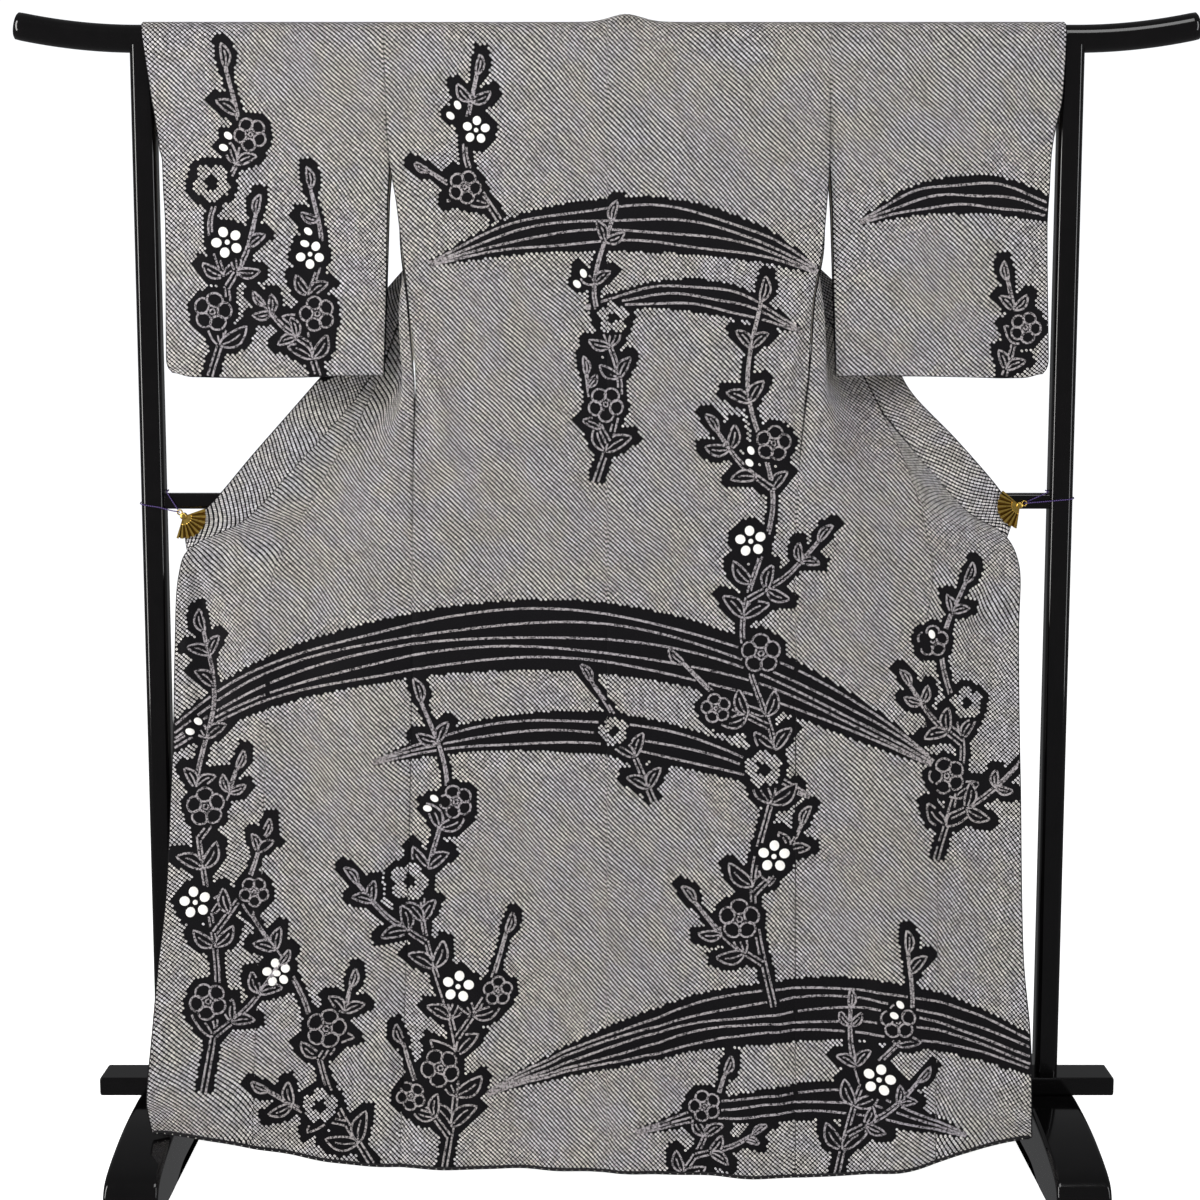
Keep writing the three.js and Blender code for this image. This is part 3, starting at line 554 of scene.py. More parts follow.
def back_y(x, z):
    t = np.clip((RAIL_Z - z) / RAIL_Z, 0, 1)
    tuck = np.where(z > TUCK_Z, 0, TUCK_STEP * np.exp(-np.clip(TUCK_Z - z, 0, 900) / 60))
    return -WRAP_R - (HEM_SWING + 0.03 * x) * t ** 1.25 - fold_rise(x, z) + tuck


# ---------------------------------------------------------------- forms of the cloth
def front_guides(side):
    """Guide rows of the front, five points each from the overlap's seam to the side seam."""
    rows = []
    sign = sign_of(side)

    def change(z, k):
        if z > 1578:
            return 0
        return lerp(line_x(side, z) - line_x("right", z), seam_x(side, z) - seam_x("right", z), k)

    for z_line, z_seam, y0, x1, y1, x2, y2, x3, y3, y4 in TURN:
        x0 = {1596: 0.15, 1593: 50, 1578: 92}.get(z_line, line_x(side, z_line))
        apart = lerp(GAP + 0.1, 3.6, min(1, max(0, (z_seam - 1000) / 180)))
        x4 = min(seam_x(side, z_seam), SHOULDER) + (apart if z_seam <= SIDE_SEAM_TOP else 0)
        xs = [x0, x1 + change(z_line, 0.25), x2 + change(z_line, 0.5), x3 + change(z_line, 0.75), x4]
        row = []
        for j, (x, y) in enumerate(zip(xs, [y0, y1, y2, y3, y4])):
            z = lerp(z_line, z_seam, j / 4)
            if j == 4 and z_seam < SIDE_SEAM_TOP:
                y = back_y(np.array(sign * x), np.array(z)) + 0.6
            row.append([sign * float(x), float(y), float(z)])
        rows.append(row)
    for z, y_line, _ in FALL:
        x0 = float(line_x(side, z))
        x4 = float(seam_x(side, z)) + GAP + 0.1
        row = []
        for j in range(5):
            x = lerp(x0, x4, j / 4)
            here = lerp(float(hem_z(side, x)), 200, z / 200) if z < 200 else z
            seam_y = float(back_y(np.array(sign * x4), np.array(here)))
            rise = float(fold_rise(np.array(sign * x), np.array(here))) if 0 < j < 4 else 0
            y = seam_y if j == 4 else lerp(y_line, seam_y, float(ease(j / 4))) - rise
            row.append([sign * x, y, here])
        rows.append(row)
    return np.array(rows)


GUIDES = {side: front_guides(side) for side in ("left", "right")}


def front_grid(side, fs, us):
    across = np.stack([along(row, us) for row in GUIDES[side]])
    return along(across, fs)


def front_rows(count):
    return np.linspace(FRONT_START, 1, count)


def line_height(f):
    return along(np.array([[row[0]] for row in TURN + FALL]), f)[..., 0]


def back_grid(side, zs, us):
    sign = sign_of(side)
    edge = np.minimum(seam_x(side, zs), SHOULDER)[:, None]
    x = lerp(0.15, edge, us[None, :])
    z = zs[:, None] + 0 * x
    z = np.where(z < 200, lerp(hem_z(side, x), 200, z / 200), z)
    return np.stack([sign * x, back_y(sign * x, z), z], -1)


def wrap_grid(side, angles, us):
    x = sign_of(side) * lerp(0.15, SHOULDER, us)[None, :] + 0 * angles[:, None]
    away = (x - HUMP["x"]) / HUMP["half"]
    a = angles[:, None] + 0 * x
    r = WRAP_R + HUMP["rise"] * np.exp(-away * away) * np.sin(a) ** 4
    return np.stack([x, -r * np.cos(a), RAIL_Z + r * np.sin(a)], -1)


def body_form(side):
    """Rows from the back hem over the rail to the front hem."""
    us = np.linspace(0, 1, 61)
    back = back_grid(side, np.linspace(0, RAIL_Z, BACK_ROWS), us)
    x, z = back[..., 0], back[..., 2]
    edge = np.minimum(seam_x(side, z), SHOULDER)
    dip = 1.3 * np.exp(-(np.abs(x) / 4.5) ** 2) + 1.5 * np.exp(-((np.abs(x) - edge) / 6) ** 2)
    tuck = 1.6 * np.exp(-((z - TUCK_Z + 1.5) / 2.6) ** 2) - 1.1 * np.exp(-((z - TUCK_Z - 5) / 7) ** 2)
    back[..., 1] += dip * ease((1590 - z) / 60) + tuck - creases(x, z) * ease((1560 - z) / 120)
    turn = wrap_grid(side, np.linspace(0, math.pi, WRAP_ROWS + 1)[1:], us)
    front = front_grid(side, front_rows(FRONT_ROWS), us)
    x, z = front[..., 0], front[..., 2]
    low = ease((1000 - z) / 80)
    front[..., 1] -= creases(x, z) * low * np.minimum(1, (1 - us) * 12)[None, :]
    return np.concatenate([back, turn, front])


def pressed(side, p):
    """Cloth drawn flat where the clip grips it."""
    grip = CLIPS[side]["grip"]
    away = np.hypot(p[..., 0] - grip[0], p[..., 2] - grip[1])
    near = ease(1 - (away - 34) / 50)
    p = p.copy()
    p[..., 1] = lerp(p[..., 1], CLIP_Y, near)
    return p


def overlap_rows(side):
    """Fractions of the front's rows beside which the overlap is sewn, top first."""
    top = OVERLAP[side][0][0]
    fs = front_rows(400)
    return fs[line_height(fs) < top]


def overlap_form(side, fs, us, bare=False):
    sign = sign_of(side)
    a = front_grid(side, fs, np.array([0.0]))[:, 0]
    height = line_height(fs)
    b = np.stack([sign * look(OVERLAP[side], height, 1), look(OVERLAP[side], height, 2),
                  look(OVERLAP[side], height, 3)], -1)
    u = us[None, :, None]
    p = lerp(a[:, None, :], b[:, None, :], u)
    p[..., 0] += sign * 0.7 * (1 - u[..., 0])
    low = lerp(hem_z(side, np.abs(p[..., 0])), p[..., 2], height[:, None] / 120)
    p[..., 2] = np.where(height[:, None] < 120, np.maximum(p[..., 2], low), p[..., 2])
    p[..., 1] -= fold_rise(p[..., 0], p[..., 2]) * np.sin(math.pi * u[..., 0])
    if not bare:
        sewn = ease((1000 - p[..., 2]) / 80)
        part = lerp(sewn, 1, np.minimum(1, u[..., 0] * 8)) * np.minimum(1, (1 - u[..., 0]) * 5)
        p[..., 1] -= creases(p[..., 0], p[..., 2]) * part
    return pressed(side, p)


def collar_half(side, cols):
    """Band beside the front and then along the overlap's top, from the neck to the clip."""
    clip = COLLAR_EDGE[side][-1][0]
    fs = front_rows(400)
    height = line_height(fs)
    fs, height = fs[height > clip - 12], height[height > clip - 12]
    sewn = front_grid(side, fs, np.array([0.0]))[:, 0]
    over = overlap_form(side, fs, np.array([1.0]), True)[:, 0]
    first = OVERLAP[side][0][0]
    mix = ease((first - height) / 24 + 0.5)[:, None]
    sewn = lerp(sewn, over, mix)
    edge = np.stack([sign_of(side) * look(COLLAR_EDGE[side], height, 1), look(COLLAR_EDGE[side], height, 2),
                     look(COLLAR_EDGE[side], height, 3)], -1)
    span = np.linalg.norm(edge - sewn, axis=-1)[:, None]
    start = np.where(height > first - 30, 2.0, 0.8)[:, None] / span
    t = lerp(start, 1, cols[None, :])[..., None]
    grid = lerp(sewn[:, None, :], edge[:, None, :], t)
    bulge = np.sin(math.pi * cols)[None, :] * 2.2
    grid[..., 1] -= bulge
    return pressed(side, grid)


def collar_form():
    cols = np.linspace(0, 1, 13)
    left = collar_half("left", cols)[::-1]
    right = collar_half("right", cols)
    middle = np.stack([0 * cols, lerp(24, 32, cols), lerp(1589, 1541, cols)], -1)[None]
    grid = np.concatenate([left, middle, right])
    at = len(left)
    for _ in range(6):
        for r in range(at - 12, at + 13):
            grid[r] = 0.25 * grid[r - 1] + 0.5 * grid[r] + 0.25 * grid[r + 1]
    return grid


def sleeve_form(side, us, ws):
    """Closed bag, w going up the viewer's half, over the rail and down the far half; u runs outwards."""
    sign = sign_of(side)
    tall = RAIL_Z - SLEEVE_LOW
    w = ws[:, None] + 0 * us[None, :]
    u = us[None, :] + 0 * w
    front = w < 0.42
    rear = w > 0.58
    t = np.where(front, w / 0.42, np.clip((1 - w) / 0.42, 0, 1))
    belly = np.minimum(1, np.sqrt(np.maximum(t, 0) / 0.06))
    z = SLEEVE_LOW + tall * t
    shut = ease((u - 0.8) / 0.2) * ease((1400 - z) / 60)
    mid = lerp(-14, 0, ease(t / 0.9))
    half = lerp(lerp(5.2, WRAP_R, ease(t / 0.95)), 5.2, shut) * lerp(0.55, 1, belly)
    y = mid + np.where(front, -half, half)
    z = z + (1 - belly) * 0.4
    angle = math.pi * (w - 0.42) / 0.16
    over = ~(front | rear)
    y = np.where(over, -WRAP_R * np.cos(angle), y)
    z = np.where(over, RAIL_Z + WRAP_R * np.sin(angle), z)
    x = lerp(look(SLEEVE_IN[side], z, 1), look(SLEEVE_OUT[side], z, 1), u)
    corner = ease((u - 0.88) / 0.12) * ease((1165 - z) / 30)
    x = x - 7 * corner * corner
    z = z + 5 * corner * ease((1150 - z) / 14)
    x = sign * x
    wave = 1.5 * np.sin(x / 19 + 0.7) + 1.1 * np.sin(x / 43 + 2.0) + 0.8 * np.sin(x / 11.3)
    rise = wave * ease((1330 - z) / 190) * np.where(front, 1, 0.6) * np.minimum(1, belly)
    rise = rise + np.where(front, creases(x, z) * ease((z - 1150) / 40) * ease((1550 - z) / 80), 0)
    y = y - np.where(front, rise, -rise)
    sag = 1.6 * np.sin(x / 57 + 1) * ease((1200 - z) / 60)
    return np.stack([x, y, z + sag], -1)

# ---------------------------------------------------------------- sheets as meshes
ALL_FACES = []      # (vertices in mm, faces) of the pieces the stitched lines are laid on


def steps(grid, axis):
    d = np.linalg.norm(np.diff(grid, axis=axis), axis=-1)
    zero = np.zeros_like(np.take(d, [0], axis=axis))
    return np.cumsum(np.concatenate([zero, d], axis=axis), axis=axis)


class Cloth:
    """A form with flat measures: s across and v along, in millimetres of the uncreased cloth."""

    def __init__(self, grid, s, v, cell=1.0):
        self.v = v
        self.lo = s.min(1)
        self.hi = s.max(1)
        self.s0 = float(self.lo.min())
        self.cell = cell
        count = int((self.hi.max() - self.s0) / cell) + 2
        marks = self.s0 + cell * np.arange(count)
        table = np.empty((len(grid), count, 3))
        for r in range(len(grid)):
            order = slice(None) if s[r, -1] > s[r, 0] else slice(None, None, -1)
            for k in range(3):
                table[r, :, k] = np.interp(marks, s[r, order], grid[r, order, k])
        self.table = table

    def row(self, v):
        return np.interp(v, self.v, np.arange(len(self.v)))

    def at(self, s, v):
        r = np.clip(self.row(v), 0, len(self.v) - 1.0001)
        r0 = r.astype(int)
        tr = (r - r0)[:, None]
        c = np.clip((s - self.s0) / self.cell, 0, self.table.shape[1] - 1.0001)
        c0 = c.astype(int)
        tc = (c - c0)[:, None]
        t = self.table
        low = lerp(t[r0, c0], t[r0, c0 + 1], tc)
        high = lerp(t[r0 + 1, c0], t[r0 + 1, c0 + 1], tc)
        return lerp(low, high, tr)

    def inside(self, s, v, margin=0.0):
        lo = np.interp(v, self.v, self.lo)
        hi = np.interp(v, self.v, self.hi)
        return (s > lo - margin) & (s < hi + margin) & (v > -margin) & (v < self.v[-1] + margin)


def placed(name, data):
    obj = bpy.data.objects.new(name, data)
    bpy.context.scene.collection.objects.link(obj)
    return obj


def make_mesh(name, verts, faces, uvs=None, values=None, smooth=True):
    """Mesh from arrays; verts in mm; faces (n, 4); uvs per corner; values: face attributes."""
    mesh = bpy.data.meshes.new(name)
    flat = np.asarray(faces).ravel()
    mesh.vertices.add(len(verts))
    mesh.vertices.foreach_set("co", (np.asarray(verts) / 1000).astype(np.float32).ravel())
    mesh.loops.add(len(flat))
    mesh.loops.foreach_set("vertex_index", flat.astype(np.int32))
    mesh.polygons.add(len(faces))
    mesh.polygons.foreach_set("loop_start", (4 * np.arange(len(faces))).astype(np.int32))
    mesh.update(calc_edges=True)
    mesh.polygons.foreach_set("use_smooth", np.full(len(faces), smooth))
    if uvs is not None:
        layer = mesh.uv_layers.new(name="cell")
        layer.data.foreach_set("uv", np.asarray(uvs, np.float32).ravel())
    for key, data in (values or {}).items():
        attribute = mesh.attributes.new(key, "FLOAT", "FACE")
        attribute.data.foreach_set("value", np.asarray(data, np.float32))
    mesh.validate()
    return placed(name, mesh)


def rim(verts, faces, normals, depth, flare):
    """Turned-in edge: each open edge drawn back along the normal and out under its neighbour."""
    a = faces.ravel()
    b = np.roll(faces, -1, axis=1).ravel()
    lo, hi = np.minimum(a, b), np.maximum(a, b)
    key = lo.astype(np.int64) * len(verts) + hi
    _, index, count = np.unique(key, return_index=True, return_counts=True)
    open_edges = index[count == 1]
    ea, eb = a[open_edges], b[open_edges]
    used = np.unique(np.concatenate([ea, eb]))
    new_at = np.full(len(verts), -1)
    new_at[used] = len(verts) + np.arange(len(used))
    away = np.cross(verts[eb] - verts[ea], normals[ea])
    spread = np.zeros_like(verts)
    np.add.at(spread, ea, away)
    np.add.at(spread, eb, away)
    spread = spread[used] / np.maximum(np.linalg.norm(spread[used], axis=1)[:, None], 1e-6)
    back = verts[used] - normals[used] * depth + spread * flare
    quads = np.stack([eb, ea, new_at[ea], new_at[eb]], 1)
    return np.concatenate([verts, back]), quads, open_edges // 4


def vertex_normals(verts, faces):
    d1 = verts[faces[:, 2]] - verts[faces[:, 0]]
    d2 = verts[faces[:, 3]] - verts[faces[:, 1]]
    n = np.cross(d1, d2)
    total = np.zeros_like(verts)
    for k in range(4):
        np.add.at(total, faces[:, k], n)
    return total / np.maximum(np.linalg.norm(total, axis=1)[:, None], 1e-9)


def wander(s, v, seed):
    """Unevenness of the tied rows: each spot sits a little off the straight lattice."""
    ds = (1.7 * np.sin(v / 37 + 1.9 * np.sin(s / 61 + seed)) + 0.9 * np.sin(v / 13.7 + s / 29 + seed)
          + 1.2 * np.sin(s / 47 + 2.0 * seed) * np.sin(v / 83))
    dv = (1.9 * np.sin(s / 31 + 1.6 * np.sin(v / 71 + seed)) + 0.9 * np.sin(s / 12.1 - v / 41 + seed)
          + 1.4 * np.sin(v / 53 + seed) * np.sin(s / 90))
    return s + ds, v + dv


def spotted(name, cloth, hand, turn=45.0, kind_of=None, rim_depth=1.5, flip=False, seed=1, flare=1.5):
    """Tied-spot cloth: one face per spot on a lattice set at an angle to the grain."""
    ca, sa = math.cos(math.radians(turn)), math.sin(math.radians(turn))
    v_hi = cloth.v[-1]
    corners = [(s * hand, v) for s in (cloth.lo.min(), cloth.hi.max()) for v in (0, v_hi)]
    i_range = [(s * ca + v * sa) / DOT for s, v in corners]
    j_range = [(-s * sa + v * ca) / DOT for s, v in corners]
    i0, i1 = int(min(i_range)) - 2, int(max(i_range)) + 2
    j0, j1 = int(min(j_range)) - 2, int(max(j_range)) + 2
    ii, jj = np.meshgrid(np.arange(i0, i1), np.arange(j0, j1), indexing="ij")
    s = (ii * ca - jj * sa) * DOT * hand
    v = (ii * sa + jj * ca) * DOT
    s, v = wander(s, v, seed)
    keep = cloth.inside(s, v, 0.35).reshape(s.shape)
    cell = keep[:-1, :-1] | keep[1:, :-1] | keep[1:, 1:] | keep[:-1, 1:]
    ci, cj = np.nonzero(cell)
    width = ii.shape[1]
    corner = ci * width + cj
    ids = np.stack([corner, corner + width, corner + width + 1, corner + 1], 1)
    used, faces = np.unique(ids, return_inverse=True)
    faces = faces.reshape(ids.shape)
    sv_s = s.ravel()[used]
    sv_v = np.clip(v.ravel()[used], 0, v_hi)
    verts = cloth.at(sv_s, sv_v)
    uv_of_vertex = np.stack([ii.ravel()[used], jj.ravel()[used]], 1).astype(float)
    inner_s = np.clip(sv_s, np.interp(sv_v, cloth.v, cloth.lo), np.interp(sv_v, cloth.v, cloth.hi))
    cut_s, cut_v = (inner_s - sv_s) * hand / DOT, (sv_v - v.ravel()[used]) / DOT
    uv_of_vertex[:, 0] += cut_s * ca + cut_v * sa
    uv_of_vertex[:, 1] += cut_v * ca - cut_s * sa
    area = 0.5 * np.linalg.norm(np.cross(verts[faces[:, 2]] - verts[faces[:, 0]],
                                         verts[faces[:, 3]] - verts[faces[:, 1]]), axis=1)
    ok = area > 0.25
    faces = faces[ok]
    used2, inverse = np.unique(faces, return_inverse=True)
    faces = inverse.reshape(faces.shape)
    verts, uv_of_vertex = verts[used2], uv_of_vertex[used2]
    if flip:
        faces = faces[:, ::-1]
    centre = verts[faces].mean(1)
    outward_of = np.cross(verts[faces[:, 2]] - verts[faces[:, 0]], verts[faces[:, 3]] - verts[faces[:, 1]])
    kind = kind_of(centre, outward_of) if kind_of else np.zeros(len(faces))
    rng = np.random.default_rng(seed)
    tone = rng.random(len(faces))
    normals = vertex_normals(verts, faces)
    ALL_FACES.append((verts, faces))
    more, quads, owner = rim(verts, faces, normals, rim_depth, flare)
    owner_uv = np.repeat(uv_of_vertex[faces[owner]].mean(1)[:, None], 4, 1)
    uv_all = np.concatenate([uv_of_vertex[faces], owner_uv])
    every = np.concatenate([faces, quads])
    # The turned-in rim faces take kind 0.6, which the shader draws as plain dark ground without spots: painted shade
    # that lays a thin dark line along every seam and edge.
    return make_mesh(name, more, every, uv_all, {"kind": np.concatenate([kind, np.full(len(quads), 0.6)]),
                                                 "tone": np.concatenate([tone, tone[owner]])})


def plain_sheet(name, grid, offset, flip=False):
    """Smooth sheet on a form, moved inwards by offset."""
    rows, cols = grid.shape[:2]
    ids = np.arange(rows * cols).reshape(rows, cols)
    faces = np.stack([ids[:-1, :-1], ids[:-1, 1:], ids[1:, 1:], ids[1:, :-1]], -1).reshape(-1, 4)
    if flip:
        faces = faces[:, ::-1]
    verts = grid.reshape(-1, 3)
    normals = vertex_normals(verts, faces)
    verts = verts - normals * offset
    s = steps(grid, 1).ravel()
    v = np.repeat(steps(grid[:, cols // 2:cols // 2 + 1], 0)[:, 0], cols)
    uv = np.stack([s, v], 1) / 10
    return make_mesh(name, verts, faces, uv[faces])


def tube_mesh(name, path, radius, sides=10, closed=False):
    """Round tube along a list of points, of one radius or one for each point."""
    path = np.asarray(path, float)
    n = len(path)
    ahead = np.roll(path, -1, 0) - np.roll(path, 1, 0)
    if not closed:
        ahead[0] = path[1] - path[0]
        ahead[-1] = path[-1] - path[-2]
    ahead /= np.linalg.norm(ahead, axis=1)[:, None]
    up = np.array([0.0, -1.0, 0.02])
    side = np.cross(ahead, up)
    side /= np.linalg.norm(side, axis=1)[:, None]
    up = np.cross(side, ahead)
    a = 2 * math.pi * np.arange(sides) / sides
    r = np.broadcast_to(np.asarray(radius, float), (n,))[:, None, None]
    ring = side[:, None] * np.cos(a)[None, :, None] + up[:, None] * np.sin(a)[None, :, None]
    verts = (path[:, None] + r * ring).reshape(-1, 3)
    ids = np.arange(n * sides).reshape(n, sides)
    nxt = np.roll(ids, -1, 1)
    if closed:
        faces = np.stack([ids, nxt, np.roll(nxt, -1, 0), np.roll(ids, -1, 0)], -1).reshape(-1, 4)
    else:
        faces = np.stack([ids[:-1], nxt[:-1], nxt[1:], ids[1:]], -1).reshape(-1, 4)
    length = steps(path[:, None], 0)[:, 0]
    u = np.broadcast_to(length[:, None], (n, sides)).reshape(-1)
    w = np.broadcast_to((np.arange(sides) / sides)[None], (n, sides)).reshape(-1)
    uv = np.stack([u / 10, w], 1)
    corner_uv = uv[faces]
    if not closed:
        for ring in (ids[0][::-1], ids[-1]):
            centre = len(verts)
            verts = np.concatenate([verts, verts[ring].mean(0)[None]])
            k = np.arange(0, sides, 2)
            fan = np.stack([ring[k], ring[(k + 1) % sides], ring[(k + 2) % sides], 0 * k + centre], 1)
            faces = np.concatenate([faces, fan])
            corner_uv = np.concatenate([corner_uv, np.zeros((len(fan), 4, 2))])
    return make_mesh(name, verts, faces, corner_uv)

# ---------------------------------------------------------------- design on the cloth
# Drawn in the plane of the hung kimono, x across and z up: (kind, x, z polygon); later ones lie on top.
GROUND, PLAIN = 0.0, 1.0


def polygon_mask(points, poly):
    poly = np.asarray(poly, float)
    low, high = poly.min(0), poly.max(0)
    near = np.nonzero(((points >= low) & (points <= high)).all(1))[0]
    p = points[near]
    inside = np.zeros(len(p), bool)
    for a, b in zip(poly, np.roll(poly, -1, 0)):
        cross = (a[1] > p[:, 1]) != (b[1] > p[:, 1])
        at = a[0] + (p[:, 1] - a[1]) * (b[0] - a[0]) / ((b[1] - a[1]) or 1e-9)
        inside ^= cross & (p[:, 0] < at)
    return near[inside]


def smooth_line(points, spacing=4.0):
    points = np.asarray(points, float)
    fine = along(points, np.linspace(0, 1, 40 * len(points)))
    d = np.concatenate([[0], np.cumsum(np.linalg.norm(np.diff(fine[:, :2], axis=0), axis=1))])
    marks = np.linspace(0, d[-1], max(3, int(d[-1] / spacing)))
    return np.stack([np.interp(marks, d, fine[:, k]) for k in range(fine.shape[1])], 1)


def sideways(line):
    d = np.gradient(line[:, :2], axis=0)
    d /= np.linalg.norm(d, axis=1)[:, None]
    return np.stack([-d[:, 1], d[:, 0]], 1)


def strip(line, half):
    n = sideways(line)
    half = np.broadcast_to(half, (len(line),))[:, None]
    return np.concatenate([line[:, :2] + n * half, (line[:, :2] - n * half)[::-1]])


def dense(points, spacing=3.6):
    d = np.concatenate([[0], np.cumsum(np.linalg.norm(np.diff(points, axis=0), axis=1))])
    marks = np.linspace(0, d[-1], max(4, int(d[-1] / spacing)))
    return np.stack([np.interp(marks, d, points[:, k]) for k in range(2)], 1)


class Design:
    def __init__(self):
        self.areas = []
        self.lines = []
        self.petals = []
        self.rng = np.random.default_rng(7)

    def area(self, kind, poly):
        self.areas.append((kind, np.asarray(poly)))

    def line(self, points, width=3.3):
        self.lines.append((dense(np.asarray(points, float)), width))

    def clear(self, poly):
        """Takes away what was drawn earlier under a new shape."""
        kept = []
        low, high = poly.min(0), poly.max(0)
        for points, width in self.lines:
            if (points.max(0) < low).any() or (points.min(0) > high).any():
                kept.append((points, width))
                continue
            hidden = np.zeros(len(points), bool)
            hidden[polygon_mask(points, poly)] = True
            cuts = np.nonzero(np.diff(hidden.astype(int)))[0] + 1
            for run, under in zip(np.split(points, cuts), np.split(hidden, cuts)):
                if not under[0] and len(run) > 2:
                    kept.append((run, width))
        self.lines = kept
        self.petals = [p for p in self.petals if not len(polygon_mask(p.mean(0)[None], poly))]

    def ribbon(self, points, count):
        """Mist band: black silk with stitched lines along it, its half width in the third column."""
        line = smooth_line(points)
        self.area(PLAIN, strip(line, line[:, 2]))
        n = sideways(line)
        t = np.linspace(0, 1, len(line))
        for k in range(count):
            share = (k + 0.5) / count * 2 - 1
            drift = 0.07 * np.sin(5 * t * math.pi + 1.7 * k)
            self.line(line[:, :2] + n * (line[:, 2] * (0.86 * share + drift))[:, None])

    def leaf(self, root, angle, length, width):
        a = math.radians(angle)
        d, n = np.array([math.cos(a), math.sin(a)]), np.array([-math.sin(a), math.cos(a)])
        t = np.linspace(0, 1, 11)
        belly = np.sin(math.pi * t ** 0.85) ** 0.8
        bend = 0.10 * length * np.sin(math.pi * t) * (1 if self.rng.random() > 0.5 else -1)
        mid = root + d * (t * length)[:, None] + n * bend[:, None]
        near = mid + n * (0.5 * width * belly)[:, None]
        far = mid - n * (0.5 * width * belly)[:, None]
        grown = root - d * 7 + d * (t * (length + 19))[:, None] + n * bend[:, None]
        wide = 0.5 * width * belly + 8.5
        self.area(PLAIN, np.concatenate([grown + n * wide[:, None], (grown - n * wide[:, None])[::-1]]))
        self.clear(np.concatenate([near, far[::-1]]))
        self.line(np.concatenate([near, far[::-1]]), 3.0)
        self.line(mid[1:8], 2.4)

    def blossom(self, centre, r, style, petals=5, tilt=0.0):
        turns = tilt + 2 * math.pi * np.arange(petals) / petals
        a = np.linspace(0, 2 * math.pi, 36, endpoint=False)
        lobes = 0.86 + 0.14 * np.abs(np.cos(petals * (a - tilt) / 2))
        self.area(PLAIN, centre + (r * lobes + 9)[:, None] * np.stack([np.cos(a), np.sin(a)], 1))
        self.clear(centre + (r * lobes + 3)[:, None] * np.stack([np.cos(a), np.sin(a)], 1))
        for turn in turns:
            d = np.array([math.cos(turn), math.sin(turn)])
            n = np.array([-d[1], d[0]])
            b = np.linspace(0, 2 * math.pi, 13)
            wide = (0.30 if petals > 6 else 0.42) * r
            at = centre + d * 0.62 * r
            oval = at + np.cos(b)[:, None] * d * 0.36 * r + np.sin(b)[:, None] * n * wide
            if style == "white":
                small = at + np.cos(b)[:-1, None] * d * 0.30 * r + np.sin(b)[:-1, None] * n * wide * 0.66
                self.petals.append(small)
            elif style == "spots":
                self.area(GROUND, oval[:-1])
            else:
                self.line(oval, 2.9)
        b = np.linspace(0, 2 * math.pi, 11)
        heart = centre + 0.15 * r * np.stack([np.cos(b), np.sin(b)], 1)
        if style == "white":
            self.petals.append(heart[:-1])
        elif style == "spots":
            self.area(PLAIN, centre + 0.17 * r * np.stack([np.cos(b), np.sin(b)], 1)[:-1])
        else:
            self.line(heart, 2.6)

    def bud(self, at, angle):
        a = math.radians(angle)
        d, n = np.array([math.cos(a), math.sin(a)]), np.array([-math.sin(a), math.cos(a)])
        b = np.linspace(0, 2 * math.pi, 12, endpoint=False)
        oval = lambda k: at + np.cos(b)[:, None] * d * 6.4 * k + np.sin(b)[:, None] * n * 4.6 * k
        self.area(PLAIN, oval(2.3))
        self.clear(oval(1.5))
        self.petals.append(oval(1.0))

    def branch(self, points, flowers, leaf=34.0, start=0.12, shoots=()):
        """Stem with pairs of leaves, and flowers at the given fractions: (fraction, offset, size, style)."""
        line = smooth_line(points)
        total = len(line) * 4.0
        t = np.linspace(0, 1, len(line))
        half = lerp(12.5, 8.0, t)
        self.area(PLAIN, strip(line, half))
        self.clear(strip(line, half - 5))
        n = sideways(line)
        for side in (-1, 1):
            self.line(line[:, :2] + n * (side * lerp(3.4, 1.3, t))[:, None], 2.9)
        at = start * total
        side = 1
        blooms = [f[0] * total for f in flowers]
        while at < total - 12:
            k = min(int(at / 4), len(line) - 2)
            clear = min([abs(at - b) for b in blooms] + [999])
            if clear > 20:
                d = line[k + 1, :2] - line[k, :2]
                heading = math.degrees(math.atan2(d[1], d[0]))
                size = leaf * lerp(1.06, 0.72, at / total) * self.rng.uniform(0.85, 1.12)
                pair = (side, -side) if self.rng.random() > 0.25 else (side,)
                for hand in pair:
                    spread = self.rng.uniform(36, 58)
                    self.leaf(line[k, :2], heading + hand * spread, size, size * 0.44)
            side = -side
            at += leaf * self.rng.uniform(1.0, 1.75)
        d = line[-1, :2] - line[-2, :2]
        self.leaf(line[-1, :2], math.degrees(math.atan2(d[1], d[0])), leaf * 0.8, leaf * 0.3)
        for fraction, hand, length in shoots:
            k = min(int(fraction * (len(line) - 1)), len(line) - 4)
            ahead = line[k + 3, :2] - line[k, :2]
            turn = math.atan2(ahead[1], ahead[0]) + hand * math.radians(46)
            bends = ((0.02, 0.0), (0.5, 0.05), (1.0, 0.18))
            way = [(far * length, turn - bend * hand) for far, bend in bends]
            shoot = [line[k, :2] + far * np.array([math.cos(a), math.sin(a)]) for far, a in way]
            self.branch(shoot, [(0.52, 14 * hand, 21, "line")] if length > 130 else [], leaf * 0.86, 0.24)
        for fraction, offset, size, style in flowers:
            k = min(int(fraction * (len(line) - 1)), len(line) - 1)
            centre = line[k, :2] + n[k] * offset
            self.blossom(centre, size, style, 5, self.rng.uniform(0, 6))
        if len(flowers) > 1:
            k = int(0.8 * (len(line) - 1))
            heading = math.degrees(math.atan2(d[1], d[0]))
            self.bud(line[k, :2] + n[k] * 17, heading + 40)
            self.bud(line[k, :2] + n[k] * 24 - (line[k, :2] - line[k - 3, :2]) * 1.3, heading + 60)

    def kinds(self, centres):
        plane = centres[:, [0, 2]]
        kind = np.zeros(len(plane))
        for value, poly in self.areas:
            kind[polygon_mask(plane, poly)] = value
        return kind


